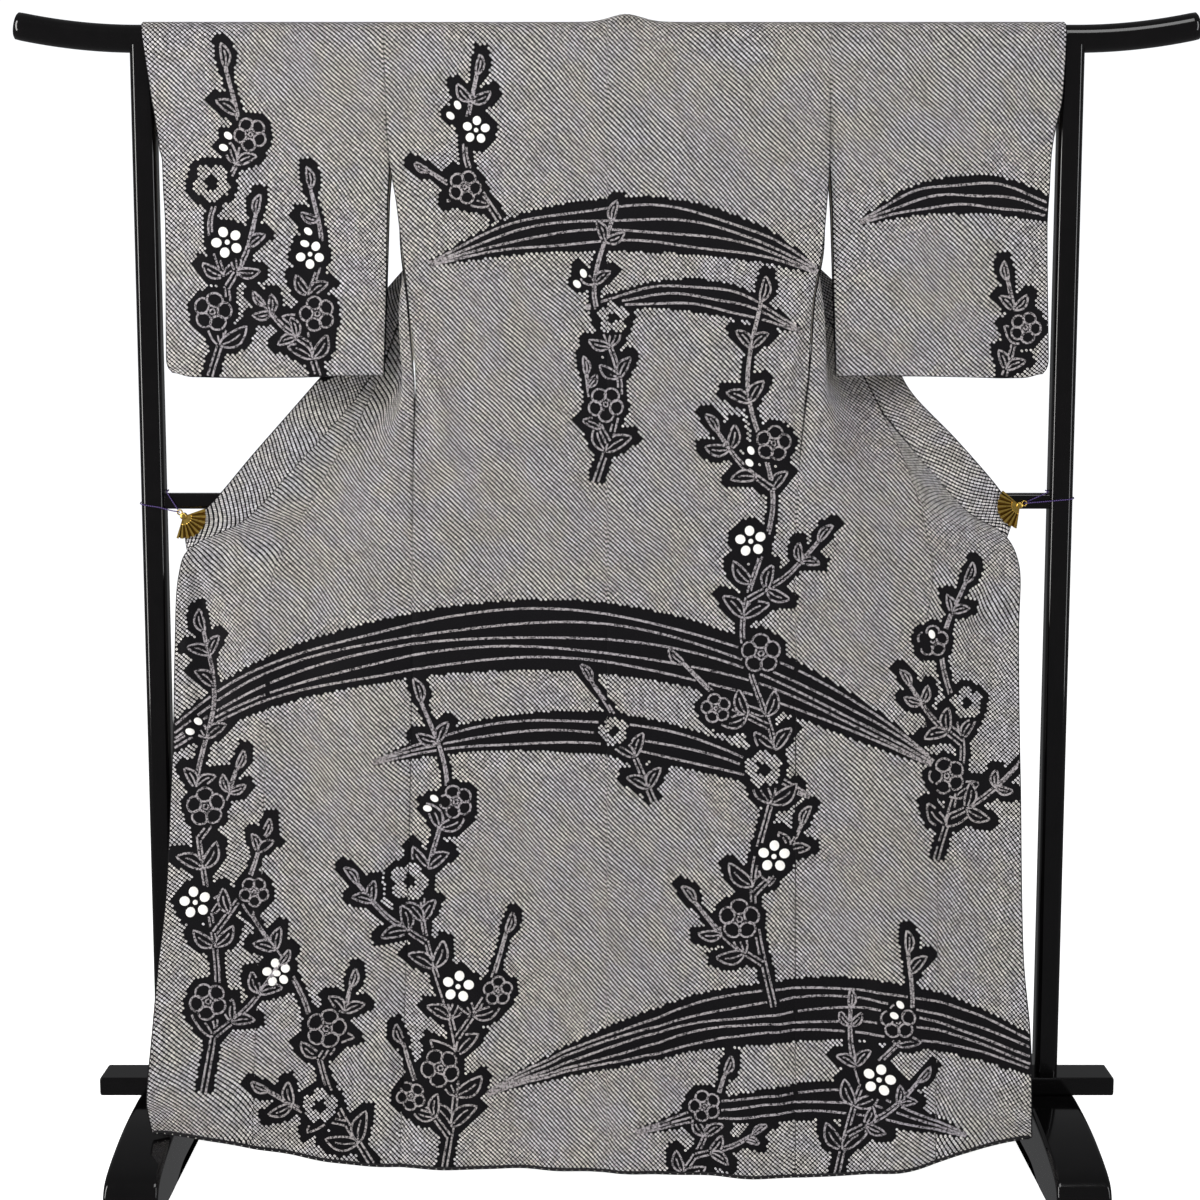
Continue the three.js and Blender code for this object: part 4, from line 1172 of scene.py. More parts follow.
FRONT = Design()
for points, count in RIBBONS:
    FRONT.ribbon(points, count)
for points, flowers, shoots, leaf in BRANCHES:
    FRONT.branch(points, flowers, leaf, shoots=shoots)
REAR = Design()
for points, flowers, shoots, leaf in REAR_BRANCHES:
    REAR.branch(points, flowers, leaf, shoots=shoots)


def seen_kinds(centres, outward):
    """Spots facing the viewer take the front design, those facing away the rear one."""
    front = outward[:, 1] < 0
    kind = np.zeros(len(centres))
    kind[front] = FRONT.kinds(centres[front])
    kind[~front] = REAR.kinds(centres[~front])
    return kind

# ---------------------------------------------------------------- materials
class Nodes:
    """Small helper that wires one material."""

    def __init__(self, name):
        self.mat = bpy.data.materials.new(name)
        self.mat.use_nodes = True
        self.tree = self.mat.node_tree
        self.shader = self.tree.nodes["Principled BSDF"]

    def put(self, socket, value):
        if hasattr(value, "is_linked"):
            self.tree.links.new(value, socket)
        elif isinstance(value, tuple) and len(value) == 3 and socket.type == "RGBA":
            socket.default_value = (*value, 1)
        else:
            socket.default_value = value

    def new(self, kind, **values):
        node = self.tree.nodes.new("ShaderNode" + kind)
        for key, value in values.items():
            if hasattr(node, key):
                setattr(node, key, value)
            else:
                self.put(node.inputs[key.replace("_", " ")], value)
        return node

    def math(self, operation, a, b=0.0, c=None):
        node = self.tree.nodes.new("ShaderNodeMath")
        node.operation = operation
        self.put(node.inputs[0], a)
        self.put(node.inputs[1], b)
        if c is not None:
            self.put(node.inputs[2], c)
        return node.outputs[0]

    def plus(self, a, b):
        return self.math("ADD", a, b)

    def minus(self, a, b):
        return self.math("SUBTRACT", a, b)

    def times(self, a, b):
        return self.math("MULTIPLY", a, b)

    def scaled(self, a, gain, base):
        return self.math("MULTIPLY_ADD", a, gain, base)

    def vector(self, operation, a, b=(0.0, 0.0, 0.0)):
        node = self.tree.nodes.new("ShaderNodeVectorMath")
        node.operation = operation
        self.put(node.inputs[0], a)
        if hasattr(b, "is_linked"):
            self.put(node.inputs[1], b)
        else:
            node.inputs[1].default_value = b
        return node.outputs[0]

    def ramp(self, value, low, high, a=0.0, b=1.0):
        node = self.tree.nodes.new("ShaderNodeMapRange")
        node.interpolation_type = "SMOOTHSTEP"
        for socket, x in zip(node.inputs, (value, low, high, a, b)):
            self.put(socket, x)
        return node.outputs[0]

    def mix(self, factor, a, b, blend="MIX"):
        node = self.tree.nodes.new("ShaderNodeMix")
        node.data_type = "RGBA"
        node.blend_type = blend
        self.put(node.inputs[0], factor)
        self.put(node.inputs[6], a)
        self.put(node.inputs[7], b)
        return node.outputs[2]

    def noise(self, vector, scale, detail=2.0, rough=0.5):
        node = self.tree.nodes.new("ShaderNodeTexNoise")
        self.put(node.inputs["Vector"], vector)
        node.inputs["Scale"].default_value = scale
        node.inputs["Detail"].default_value = detail
        node.inputs["Roughness"].default_value = rough
        return node.outputs["Fac"]

    def uv(self):
        return self.new("UVMap", uv_map="cell").outputs[0]

    def place(self):
        return self.new("TexCoord").outputs["Object"]

    def bump(self, height, distance, strength=1.0):
        node = self.tree.nodes.new("ShaderNodeBump")
        node.inputs["Strength"].default_value = strength
        node.inputs["Distance"].default_value = distance
        self.put(node.inputs["Height"], height)
        self.put(self.shader.inputs["Normal"], node.outputs[0])

    def set(self, **values):
        for key, value in values.items():
            self.put(self.shader.inputs[key.replace("_", " ")], value)
        return self.mat


SPOT_HALF = (0.335, 0.42)      # half sides of a pale spot, as shares of its cell
SQUARENESS = 2.8               # 2 is an ellipse, more is squarer


def spotted_silk():
    """Pale rounded squares on near-black silk, each with a dark dot in its middle and a small dome."""
    m = Nodes("tied_spot_silk")
    uv = m.uv()
    cell = m.vector("FLOOR", uv)
    inner = m.new("SeparateXYZ", Vector=m.vector("SUBTRACT", m.vector("FRACTION", uv), (0.5, 0.5, 0.0)))
    speck = m.new("TexWhiteNoise", noise_dimensions="2D", Vector=cell)
    shift = m.new("SeparateXYZ", Vector=speck.outputs["Color"])
    p, q = (m.plus(inner.outputs[k], m.scaled(shift.outputs[k], 0.10, -0.05)) for k in (0, 1))
    a, b = (m.math("POWER", m.math("DIVIDE", m.math("ABSOLUTE", off), half), SQUARENESS)
            for off, half in zip((p, q), SPOT_HALF))
    edge = m.math("POWER", m.plus(a, b), 1 / SQUARENESS)
    away = m.math("SQRT", m.plus(m.times(p, p), m.times(q, q)))
    spot = m.ramp(edge, 0.80, 1.06, 1.0, 0.0)
    hole = m.ramp(away, 0.10, 0.23, 1.0, 0.0)
    kind = m.new("Attribute", attribute_name="kind").outputs["Fac"]
    # Kind 0.5 and up gives plain dark ground: the black areas of the design, and at 0.6 the painted seam shade of the
    # rims.
    field = m.minus(1.0, m.ramp(kind, 0.3, 0.5))
    place = m.place()
    tint = m.ramp(m.noise(place, 17.0, 3.0, 0.7), 0.34, 0.66)
    small = m.noise(place, 95.0, 1.0)
    pale = m.mix(tint, (0.92, 0.88, 0.815), (0.88, 0.855, 0.90))
    tone = m.new("Attribute", attribute_name="tone").outputs["Fac"]
    value = m.plus(m.scaled(tone, 0.52, 0.56), m.scaled(small, 0.4, -0.2))
    light = m.vector("SCALE", pale)
    m.put(light.node.inputs["Scale"], value)
    cover = m.times(m.times(spot, field), m.scaled(hole, -0.82, 1.0))
    weave = m.noise(uv, 5.5, 3.0, 0.6)
    ground = m.mix(weave, (0.0025, 0.0023, 0.0028), (0.007, 0.0065, 0.008))
    dome = m.times(m.ramp(away, 0.02, 0.52, 1.0, 0.0), field)
    height = m.plus(m.minus(dome, m.times(hole, 0.35)), m.times(weave, 0.16))
    m.bump(height, 0.0016, 0.8)
    rough = m.scaled(m.noise(place, 260.0), 0.2, 0.52)
    return m.set(Base_Color=m.mix(cover, ground, light), Roughness=rough, Specular_IOR_Level=0.1)


def thread_silk():
    m = Nodes("stitched_line")
    place = m.place()
    lump = m.noise(place, 620.0, 2.0, 0.6)
    knots = m.noise(place, 260.0, 1.0)
    cover = m.ramp(m.plus(m.times(lump, 0.6), m.times(knots, 0.4)), 0.40, 0.56)
    pale = m.mix(m.noise(place, 3.1, 1.0), (0.42, 0.385, 0.36), (0.36, 0.335, 0.38))
    m.bump(m.plus(lump, knots), 0.0012, 0.9)
    return m.set(Base_Color=m.mix(cover, (0.008, 0.007, 0.009), pale), Roughness=0.6,
                 Specular_IOR_Level=0.15)


def petal_silk():
    m = Nodes("white_petal")
    place = m.place()
    # One noise bumps the petal and also darkens its colour in the hollows: painted shade in the creases.
    crumple_and_shade = m.noise(place, 190.0, 3.0, 0.65)
    m.bump(crumple_and_shade, 0.0015, 0.7)
    return m.set(Base_Color=m.mix(crumple_and_shade, (0.72, 0.70, 0.66), (0.92, 0.90, 0.87)), Roughness=0.5,
                 Sheen_Weight=0.1)


def smooth_silk(name, dark, light, sheen=0.2):
    m = Nodes(name)
    threads, cross = (m.new("TexWave", bands_direction=way, Vector=m.uv(), Scale=scale, Distortion=0.6,
                            Detail=1.0).outputs["Fac"] for way, scale in (("X", 7.0), ("Y", 8.6)))
    cloudy = m.noise(m.place(), 7.0, 3.0)
    mixed = m.plus(m.times(threads, 0.25), m.plus(m.times(cross, 0.2), m.times(cloudy, 0.6)))
    m.bump(m.plus(threads, cross), 0.0002, 0.5)
    rough = m.scaled(cloudy, 0.2, 0.36)
    return m.set(Base_Color=m.mix(mixed, dark, light), Roughness=rough, Sheen_Weight=sheen,
                 Sheen_Roughness=0.35)


def rolled_hem():
    m = Nodes("rolled_hem")
    uv = m.uv()
    part = m.new("SeparateXYZ", Vector=uv)
    every = m.math("FRACT", m.times(part.outputs[0], 0.92))
    stitch = m.times(m.ramp(m.math("ABSOLUTE", m.minus(every, 0.5)), 0.045, 0.07, 1.0, 0.0),
                    m.ramp(m.math("ABSOLUTE", m.minus(part.outputs[1], 0.22)), 0.03, 0.05, 1.0, 0.0))
    ribs = m.noise(m.vector("MULTIPLY", uv, (14.0, 1.5, 1.0)), 3.0, 2.0)
    m.bump(m.plus(ribs, stitch), 0.0008, 0.6)
    return m.set(Base_Color=m.mix(stitch, m.mix(ribs, (0.003, 0.0027, 0.0034), (0.009, 0.008, 0.01)),
                                  (0.72, 0.70, 0.66)), Roughness=0.5, Specular_IOR_Level=0.25)


def lacquer():
    m = Nodes("black_lacquer")
    place = m.place()
    peel = m.noise(place, 42.0, 2.0)
    dust = m.noise(place, 900.0, 2.0, 0.7)
    wipe = m.noise(m.vector("MULTIPLY", place, (1.0, 1.0, 0.12)), 30.0, 3.0)
    m.bump(m.plus(peel, m.times(dust, 0.06)), 0.0005, 0.12)
    rough = m.scaled(wipe, 0.10, 0.05)
    return m.set(Base_Color=m.mix(peel, (0.001, 0.0009, 0.001), (0.003, 0.0025, 0.0028)), Roughness=rough,
                 Coat_Weight=0.2, Coat_Roughness=0.03, IOR=1.42)


def gilt():
    m = Nodes("gilt_metal")
    place = m.place()
    # Faces of the lowered pleats, marked in the first uv column by the fan, take a dark gold: painted shade in the
    # recesses.
    painted_pleat_shade = m.new("SeparateXYZ", Vector=m.uv()).outputs[0]
    rub = m.noise(place, 260.0, 3.0, 0.6)
    m.bump(rub, 0.0003, 0.3)
    bright = m.mix(rub, (0.80, 0.50, 0.085), (0.98, 0.70, 0.19))
    return m.set(Base_Color=m.mix(painted_pleat_shade, bright, (0.34, 0.18, 0.025)), Metallic=1.0,
                 Roughness=m.scaled(rub, 0.2, 0.2))


def twisted_cord():
    m = Nodes("twisted_cord")
    part = m.new("SeparateXYZ", Vector=m.uv())
    turn = m.math("SINE", m.times(m.plus(m.times(part.outputs[0], 3.2), part.outputs[1]), 2 * math.pi))
    m.bump(turn, 0.0003, 0.8)
    # Colour follows the twist's bump, dark in the grooves between strands and light on their crowns: painted shade.
    colour = m.mix(m.ramp(turn, -1.0, 1.0), (0.02, 0.010, 0.06), (0.085, 0.045, 0.20))
    return m.set(Base_Color=colour, Roughness=0.6)


# Finishes: material and slot name
SPOTTED = (spotted_silk(), "shibori_silk")
THREAD = (thread_silk(), "shibori_silk")
PETAL = (petal_silk(), "shibori_silk")
LINED = (smooth_silk("pale_lining_silk", (0.47, 0.43, 0.37), (0.66, 0.62, 0.56)), "lining_silk")
FACED = (smooth_silk("black_facing_silk", (0.004, 0.0035, 0.0045), (0.014, 0.0125, 0.015), 0.05),
         "facing_silk")
ROLLED = (rolled_hem(), "facing_silk")
LACQUER = (lacquer(), "lacquer")
GILT = (gilt(), "gilt")
CORDED = (twisted_cord(), "cord")


def finish_piece(obj, finish, *nodes):
    """Material and slot of a piece, and the nodes of the frame it stands for."""
    material, slot = finish
    obj.data.materials.clear()
    obj.data.materials.append(material)
    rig.ride(obj, "root")
    if nodes:
        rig.replaces(obj, *nodes)
    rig.slot(obj, slot)
    return obj


# ---------------------------------------------------------------- the kimono
BACKING_DEPTH = 2.2
OVERLAP_TURN = {"left": 51.0, "right": 40.0}
FLAT = {
    # piece: flat size in m, how it is held, what it rests on (a name ending in _ takes the side), flat area
    "body": ((0.31, 3.30), "draped", "rail", 0.95),
    "lining": ((0.31, 2.15), "draped", "rail", 0.60),
    "facing_back": ((0.30, 0.56), "hung", "kimono_body_", None),
    "facing_front": ((0.23, 0.60), "hung", "kimono_body_", None),
    "overlap": ((0.155, 1.20), "hung", "clip_", 0.14),
    "overlap_facing": ((0.155, 1.20), "hung", "clip_", 0.14),
    "sleeve": ((0.33, 0.98), "draped", "rail", None),
    "sleeve_lining": ((0.33, 0.96), "draped", "rail", None),
    "collar": ((0.055, 1.03), "hung", "clip_", None),
    "collar_under": ((0.055, 1.03), "hung", "kimono_collar_", None),
}
SHEETS = []         # (piece, its row of FLAT, side)


def tied(name, side, grid, s, nodes, **look_of):
    """Outer piece of tied-spot cloth on a form whose points lie s across the cloth."""
    middle = s.shape[1] // 2
    cloth = Cloth(grid, s, steps(grid[:, middle:middle + 1], 0)[:, 0])
    piece = finish_piece(spotted(f"kimono_{name}_{side}", cloth, **look_of), SPOTTED, *nodes)
    SHEETS.append((piece, name, side))


def backing(name, side, rows, finish, node):
    """Plain piece just inside a stretch of a form."""
    sheet = plain_sheet(f"kimono_{name}_{side}", rows[::2, ::2], BACKING_DEPTH, flip=side == "left")
    SHEETS.append((finish_piece(sheet, finish, f"{node}_{side}"), name, side))


for side in ("left", "right"):
    hand = sign_of(side)
    grid = body_form(side)
    front_from = BACK_ROWS + WRAP_ROWS
    s = steps(grid, 1)
    s[front_from:] = SHOULDER - (s[front_from:, -1:] - s[front_from:])
    tied("body", side, grid, s, ["body_" + side], hand=hand, kind_of=seen_kinds, seed=3 + hand)
    split_back = int(FACING_TOP / RAIL_Z * (BACK_ROWS - 1))
    split_front = front_from + int(np.argmin(np.abs(line_height(front_rows(FRONT_ROWS)) - FACING_TOP)))
    backing("lining", side, grid[split_back:split_front + 1], LINED, "lining")
    backing("facing_back", side, grid[:split_back + 1], FACED, "hem_facing_back")
    backing("facing_front", side, grid[split_front:], FACED, "hem_facing_front")

    grid = overlap_form(side, overlap_rows(side)[::-1], np.linspace(0, 1, 45))
    tied("overlap", side, grid, steps(grid, 1), ["overlap_" + side], hand=hand, turn=OVERLAP_TURN[side],
         kind_of=seen_kinds, seed=9 + hand)
    backing("overlap_facing", side, grid, FACED, "overlap_lining")

    # Rows lie closer together at the closed lower edge
    near = np.linspace(0, 0.06, 22)
    ws = np.concatenate([near[:-1], np.linspace(0.06, 0.94, 200), np.linspace(0.94, 1, 22)[1:]])
    grid = sleeve_form(side, np.linspace(0, 1, 70), ws)
    tied("sleeve", side, grid, steps(grid, 1), ["sleeve_" + side], hand=hand, kind_of=seen_kinds,
         seed=15 + hand)
    backing("sleeve_lining", side, grid[4:-4], LINED, "sleeve_lining")

# The collar band in two halves that meet behind the neck, each with its folded-in inner layer.
grid = collar_form()
s = steps(grid, 1)
middle = int(np.argmin(np.abs(grid[:, 6, 0])))
for side, rows, turn in (("left", slice(0, middle + 1), 132.0), ("right", slice(middle, None), 152.0)):
    tied("collar", side, grid[rows], s[rows], ["collar"], hand=1, turn=turn, kind_of=seen_kinds, flip=True,
         rim_depth=2.6)
    under = grid[rows] + np.array([0, 2.8, 0])
    tied("collar_under", side, under, s[rows], [], hand=1, turn=turn, rim_depth=0.4)


# Rolled hem: the dark facing turned out below the edge, from corner to corner.
def hem_line():
    points = []
    for side in ("left", "right"):
        grid = body_form(side)
        corner = overlap_form(side, np.array([1.0]), np.linspace(1, 0, 40))[0]
        line = np.concatenate([corner, grid[-1], grid[0][::-1]])
        points.append(line if side == "left" else line[::-1])
    line = np.concatenate(points)
    d = np.concatenate([[0], np.cumsum(np.linalg.norm(np.diff(line, axis=0), axis=1))])
    marks = np.arange(0, d[-1], 4.0)
    line = np.stack([np.interp(marks, d, line[:, k]) for k in range(3)], 1)
    for _ in range(3):
        line[1:-1] = 0.25 * line[:-2] + 0.5 * line[1:-1] + 0.25 * line[2:]
    return line


HEM_ROLL = 2.9
hem = hem_line()
hem[:, 1] += 1.0
hem[:, 2] = np.maximum(hem[:, 2] - 0.6, 3.0)
finish_piece(tube_mesh("kimono_rolled_hem", hem, HEM_ROLL, 10), ROLLED)


# ---------------------------------------------------------------- stitched lines and white petals
def cloth_tree():
    starts = np.cumsum([0] + [len(v) for v, _ in ALL_FACES])
    verts = np.concatenate([v for v, _ in ALL_FACES])
    faces = np.concatenate([f + at for (_, f), at in zip(ALL_FACES, starts)])
    return BVHTree.FromPolygons([Vector(p) for p in verts], [tuple(int(i) for i in f) for f in faces])


TREE = cloth_tree()


def on_cloth(x, z, way):
    """Point and normal of the cloth first met along y at (x, z), unless it is seen edge on."""
    hit, normal, _, _ = TREE.ray_cast(Vector((x, -600.0 * way, z)), Vector((0, way, 0)))
    if hit is None or normal.y * way > -0.15:
        return None
    return np.array(hit), np.array(normal)


def cloth_runs(points, way):
    """The stretches of a drawn line that lie on one piece of cloth without a jump."""
    runs, run = [], []
    for x, z in points:
        got = on_cloth(x, z, way)
        if got is None or (run and abs(got[0][1] - run[-1][0][1]) > 9):
            runs.append(run)
            run = [] if got is None else [got]
        else:
            run.append(got)
    return [r for r in runs + [run] if len(r) > 2]


def laid_lines(name, design, way):
    """Low three-sided ridges of stitching along the drawn lines."""
    rng = np.random.default_rng(5)
    verts, faces, uvs = [], [], []
    for points, width in design.lines:
        for run in cloth_runs(points, way):
            c = np.array([p for p, _ in run])
            n = np.array([q for _, q in run])
            d = np.gradient(c, axis=0)
            d /= np.linalg.norm(d, axis=1)[:, None] + 1e-9
            side = np.cross(n, d)
            w = 0.5 * width * (1 + 0.16 * (rng.random(len(c)) - 0.5))
            base = len(verts)
            for k in range(len(c)):
                foot_of = c[k] + n[k] * 0.15
                verts += [foot_of + side[k] * w[k], c[k] + n[k] * 0.95, foot_of - side[k] * w[k]]
            for k in range(len(c) - 1):
                a = base + 3 * k
                for j in (0, 1):
                    faces.append([a + j, a + j + 1, a + 3 + j + 1, a + 3 + j])
                    uvs.append([[k, j], [k, j + 1], [k + 1, j + 1], [k + 1, j]])
    return make_mesh(name, np.array(verts), np.array(faces), np.array(uvs, float))


def laid_petals(name, design, way):
    """Small raised cushions of undyed silk on the drawn petals."""
    verts, faces = [], []
    for poly in design.petals:
        centre = poly.mean(0)
        got = [on_cloth(x, z, way) for x, z in poly] + [on_cloth(*centre, way)]
        if any(g is None for g in got) or np.ptp([g[0][1] for g in got]) > 8:
            continue
        base = len(verts)
        count = len(poly)
        for p, n in got[:-1]:
            verts.append(p + n * 0.2)
        mid, normal = got[-1]
        for p, n in got[:-1]:
            verts.append(lerp(p, mid, 0.35) + n * 1.3)
        verts.append(mid + normal * 1.5)
        for k in range(count):
            j = (k + 1) % count
            faces.append([base + k, base + j, base + count + j, base + count + k])
        for k in range(0, count, 2):
            faces.append([base + count + k, base + count + (k + 1) % count, base + count + (k + 2) % count,
                          base + 2 * count])
    faces = np.array(faces)
    return make_mesh(name, np.array(verts), faces, np.zeros((len(faces), 4, 2)))


for label, design, way in (("front", FRONT, 1), ("rear", REAR, -1)):
    finish_piece(laid_lines(f"stitched_lines_{label}", design, way), THREAD)
    finish_piece(laid_petals(f"white_petals_{label}", design, way), PETAL)

# ---------------------------------------------------------------- the stand
def rounded(width, deep, r):
    """Outline of a rounded rectangle, eight points to a corner."""
    out = []
    for k, (cx, cy) in enumerate([(1, 1), (-1, 1), (-1, -1), (1, -1)]):
        x, y = cx * (width / 2 - r), cy * (deep / 2 - r)
        for j in range(8):
            a = math.pi / 2 * (k + j / 7)
            out.append((x + r * math.cos(a), y + r * math.sin(a)))
    return np.array(out)


def prism(name, outline, stations, place):
    """Outline swept through stations (position, inset); place(u, v, w) gives the point."""
    rings = []
    reach = np.abs(outline).max(0)
    for at, inset in stations:
        shrink = 1 - inset / reach
        rings.append([place(x * shrink[0], y * shrink[1], at) for x, y in outline])
    verts = np.array(rings).reshape(-1, 3)
    count = len(outline)
    ids = np.arange(len(stations) * count).reshape(len(stations), count)
    nxt = np.roll(ids, -1, 1)
    faces = np.stack([ids[:-1], nxt[:-1], nxt[1:], ids[1:]], -1).reshape(-1, 4)
    for ring in (ids[0][::-1], ids[-1]):
        centre = len(verts)
        verts = np.concatenate([verts, verts[ring].mean(0)[None]])
        k = np.arange(0, count, 2)
        faces = np.concatenate([faces, np.stack([ring[k], ring[(k + 1) % count], ring[(k + 2) % count],
                                                 0 * k + centre], 1)])
    obj = make_mesh(name, verts, faces, np.zeros((len(faces), 4, 2)))
    weighted(obj)
    return obj


def weighted(obj):
    outward(obj)
    modifier = obj.modifiers.new("even_normals", "WEIGHTED_NORMAL")
    modifier.weight = 100
    modifier.keep_sharp = True


def outward(obj):
    bm = bmesh.new()
    bm.from_mesh(obj.data)
    bmesh.ops.recalc_face_normals(bm, faces=bm.faces)
    bm.to_mesh(obj.data)
    bm.free()


def rail():
    """Round rail whose ends turn up, the edges of its tips rounded."""
    xs = np.concatenate([np.linspace(-RAIL_HALF, -RAIL_STRAIGHT, 24), np.linspace(-600, 600, 7),
                         np.linspace(RAIL_STRAIGHT, RAIL_HALF, 24)])
    t = np.clip((np.abs(xs) - RAIL_STRAIGHT) / (RAIL_HALF - RAIL_STRAIGHT), 0, 1)
    path = np.stack([xs, 0 * xs, RAIL_Z + RAIL_TIP_RISE * t * t], 1)
    ends = ((path[0], path[1]), (path[-1], path[-2]))
    tips = [a + 1.4 * (a - b) / np.linalg.norm(a - b) for a, b in ends]
    path = np.concatenate([tips[:1], path, tips[1:]])
    radius = np.full(len(path), float(RAIL_R))
    radius[[0, -1]] -= 2.2
    radius[[1, -2]] -= 0.4
    return tube_mesh("stand_rail", path, radius, 48)


finish_piece(rail(), LACQUER, "rail")
for side in ("left", "right"):
    x0 = sign_of(side) * POST_X
    low, high = BASE_LOW + BASE_TALL - 2, RAIL_Z - 6
    post = prism(f"stand_post_{side}", rounded(POST_SIDE, POST_SIDE, POST_CORNER),
                 [(low, 0), (low + 1, 0), (high - 1, 0), (high, 0)], lambda u, v, w: (x0 + u, v, w))
    finish_piece(post, LACQUER, f"post_{side}")
edge = POST_X - POST_SIDE / 2 + 1
bar = prism("stand_middle_bar", rounded(MID_DEEP, MID_TALL, 5), [(-edge, 0), (-edge + 1, 0), (edge - 1, 0),
            (edge, 0)], lambda u, v, w: (w, u, MID_Z + v))
finish_piece(bar, LACQUER, "middle_bar")
bar = prism("stand_base_bar", rounded(BASE_DEEP, BASE_TALL, 3), [(-BASE_HALF, 2.6), (-BASE_HALF + 0.8, 0.9),
            (-BASE_HALF + 2.6, 0), (-BASE_HALF + 3.4, 0), (BASE_HALF - 3.4, 0), (BASE_HALF - 2.6, 0),
            (BASE_HALF - 0.8, 0.9), (BASE_HALF, 2.6)], lambda u, v, w: (w, u, BASE_LOW + BASE_TALL / 2 + v))
finish_piece(bar, LACQUER, "base_bar")


FOOT_ROUND = 6.0


def foot(side):
    """Long block with a sloping back, a round toe and a shallow arch below, its long edges rounded."""
    half = along(FOOT_TOP, np.linspace(0, 1, 60))
    under = along([[266, 0], [208, 0]] + FOOT_ARCH + [[0, 2]], np.linspace(0, 1, 40))
    right = np.concatenate([[[0, 92.3], [20, 92.5]], half, under])
    outline = np.concatenate([right, (right * [-1, 1])[::-1][1:-1]])
    d = np.roll(outline, -1, 0) - np.roll(outline, 1, 0)
    d /= np.linalg.norm(d, axis=1)[:, None]
    inward = np.stack([d[:, 1], -d[:, 0]], 1)
    marks = [(-FOOT_WIDE / 2 + FOOT_ROUND * (1 - math.cos(a)), FOOT_ROUND * (1 - math.sin(a)))
             for a in np.linspace(0, math.pi / 2, 7)]
    marks.append((marks[-1][0] + 0.5, 0.0))
    marks += [(-w, inset) for w, inset in marks[::-1]]
    x0 = sign_of(side) * (POST_X + 1)
    rings = [np.insert(outline + inward * inset, 0, x0 + w, axis=1) for w, inset in marks]
    count = len(outline)
    ids = np.arange(len(rings) * count).reshape(len(rings), count)
    nxt = np.roll(ids, -1, 1)
    faces = list(np.stack([ids[:-1], nxt[:-1], nxt[1:], ids[1:]], -1).reshape(-1, 4))
    for ring in (ids[0], ids[-1]):
        for k in range(count // 2):
            faces.append([ring[k], ring[k + 1], ring[count - k - 1], ring[(count - k) % count]])
    return np.concatenate(rings), faces


def loose_mesh(name, verts, faces):
    """Mesh of faces some of whose corners may fall together."""
    mesh = bpy.data.meshes.new(name)
    corners = [list(dict.fromkeys(int(i) for i in f)) for f in faces]
    mesh.from_pydata([tuple(p) for p in verts / 1000], [], [c for c in corners if len(c) > 2])
    mesh.polygons.foreach_set("use_smooth", np.ones(len(mesh.polygons), bool))
    obj = placed(name, mesh)
    weighted(obj)
    return obj


for side in ("left", "right"):
    finish_piece(loose_mesh(f"stand_foot_{side}", *foot(side)), LACQUER, f"foot_{side}")


# ---------------------------------------------------------------- clips and cords
def fan(side):
    """Pleated fan in front, plain plate behind and guards on both edges; its pin and ring are made after it."""
    c = CLIPS[side]
    verts, faces, dark = [], [], []

    def plate(angles, radii, depth, thick, ribbed=False):
        base = len(verts)
        for layer in (0, 1):
            for i, a in enumerate(angles):
                for j, r in enumerate(radii):
                    out = r - (1.0 if ribbed and j == len(radii) - 1 and i % 4 > 1 else 0)
                    y = depth(i, j) + layer * thick
                    verts.append((c["x"] + out * math.cos(a), y, c["z"] - out * math.sin(a)))
        m, n = len(angles), len(radii)
        at = lambda layer, i, j: base + layer * m * n + i * n + j
        for i in range(m - 1):
            for j in range(n - 1):
                faces.append([at(0, i, j), at(0, i, j + 1), at(0, i + 1, j + 1), at(0, i + 1, j)])
                # Lowered pleat faces go into dark, for painted shade in the gilt.
                if ribbed and j > 2 and i % 4 > 0:
                    dark.append(len(faces) - 1)
                faces.append([at(1, i, j), at(1, i + 1, j), at(1, i + 1, j + 1), at(1, i, j + 1)])
        for i in range(m - 1):
            faces.append([at(0, i, 0), at(0, i + 1, 0), at(1, i + 1, 0), at(1, i, 0)])
            faces.append([at(0, i, n - 1), at(1, i, n - 1), at(1, i + 1, n - 1), at(0, i + 1, n - 1)])
        for j in range(n - 1):
            faces.append([at(0, 0, j), at(1, 0, j), at(1, 0, j + 1), at(0, 0, j + 1)])
            faces.append([at(0, m - 1, j), at(0, m - 1, j + 1), at(1, m - 1, j + 1), at(1, m - 1, j)])

    places = np.linspace(0, 1, 9)[:-1, None] + np.array([0.0, 0.055, 0.080, 0.110])
    full = np.radians(lerp(c["from"], c["to"], np.append(places.ravel(), 1.0)))
    radii = [2.5, 7, 11.5, 12.4, 22, 31, 32]
    front = CLIP_Y - 3.4
    lift = lambda i, j: 0.9 if j < 3 else 1.5 if i % 4 < 2 else -0.9
    plate(full, radii, lambda i, j: front - lift(i, j), 0.7, True)
    behind = np.radians(np.linspace(c["from"] + 4, c["to"] - 4, 14))
    plate(behind, [3, 12, 24], lambda i, j: CLIP_Y + 3.0, 0.9)
    for edge_angle, inward in ((c["from"], 1), (c["to"], -1)):
        plate(np.radians(np.array([edge_angle - 1.2 * inward, edge_angle + 4.2 * inward])[::inward]),
              [1.5, 10, 22, 32.6], lambda i, j: front - 2.1, 1.3)
    uvs = np.zeros((len(faces), 4, 2))
    uvs[dark, :, 0] = 1
    return np.array(verts), np.array(faces), uvs


def plain_uv(obj):
    obj.data.uv_layers["cell"].data.foreach_set("uv", np.zeros(2 * len(obj.data.loops), np.float32))


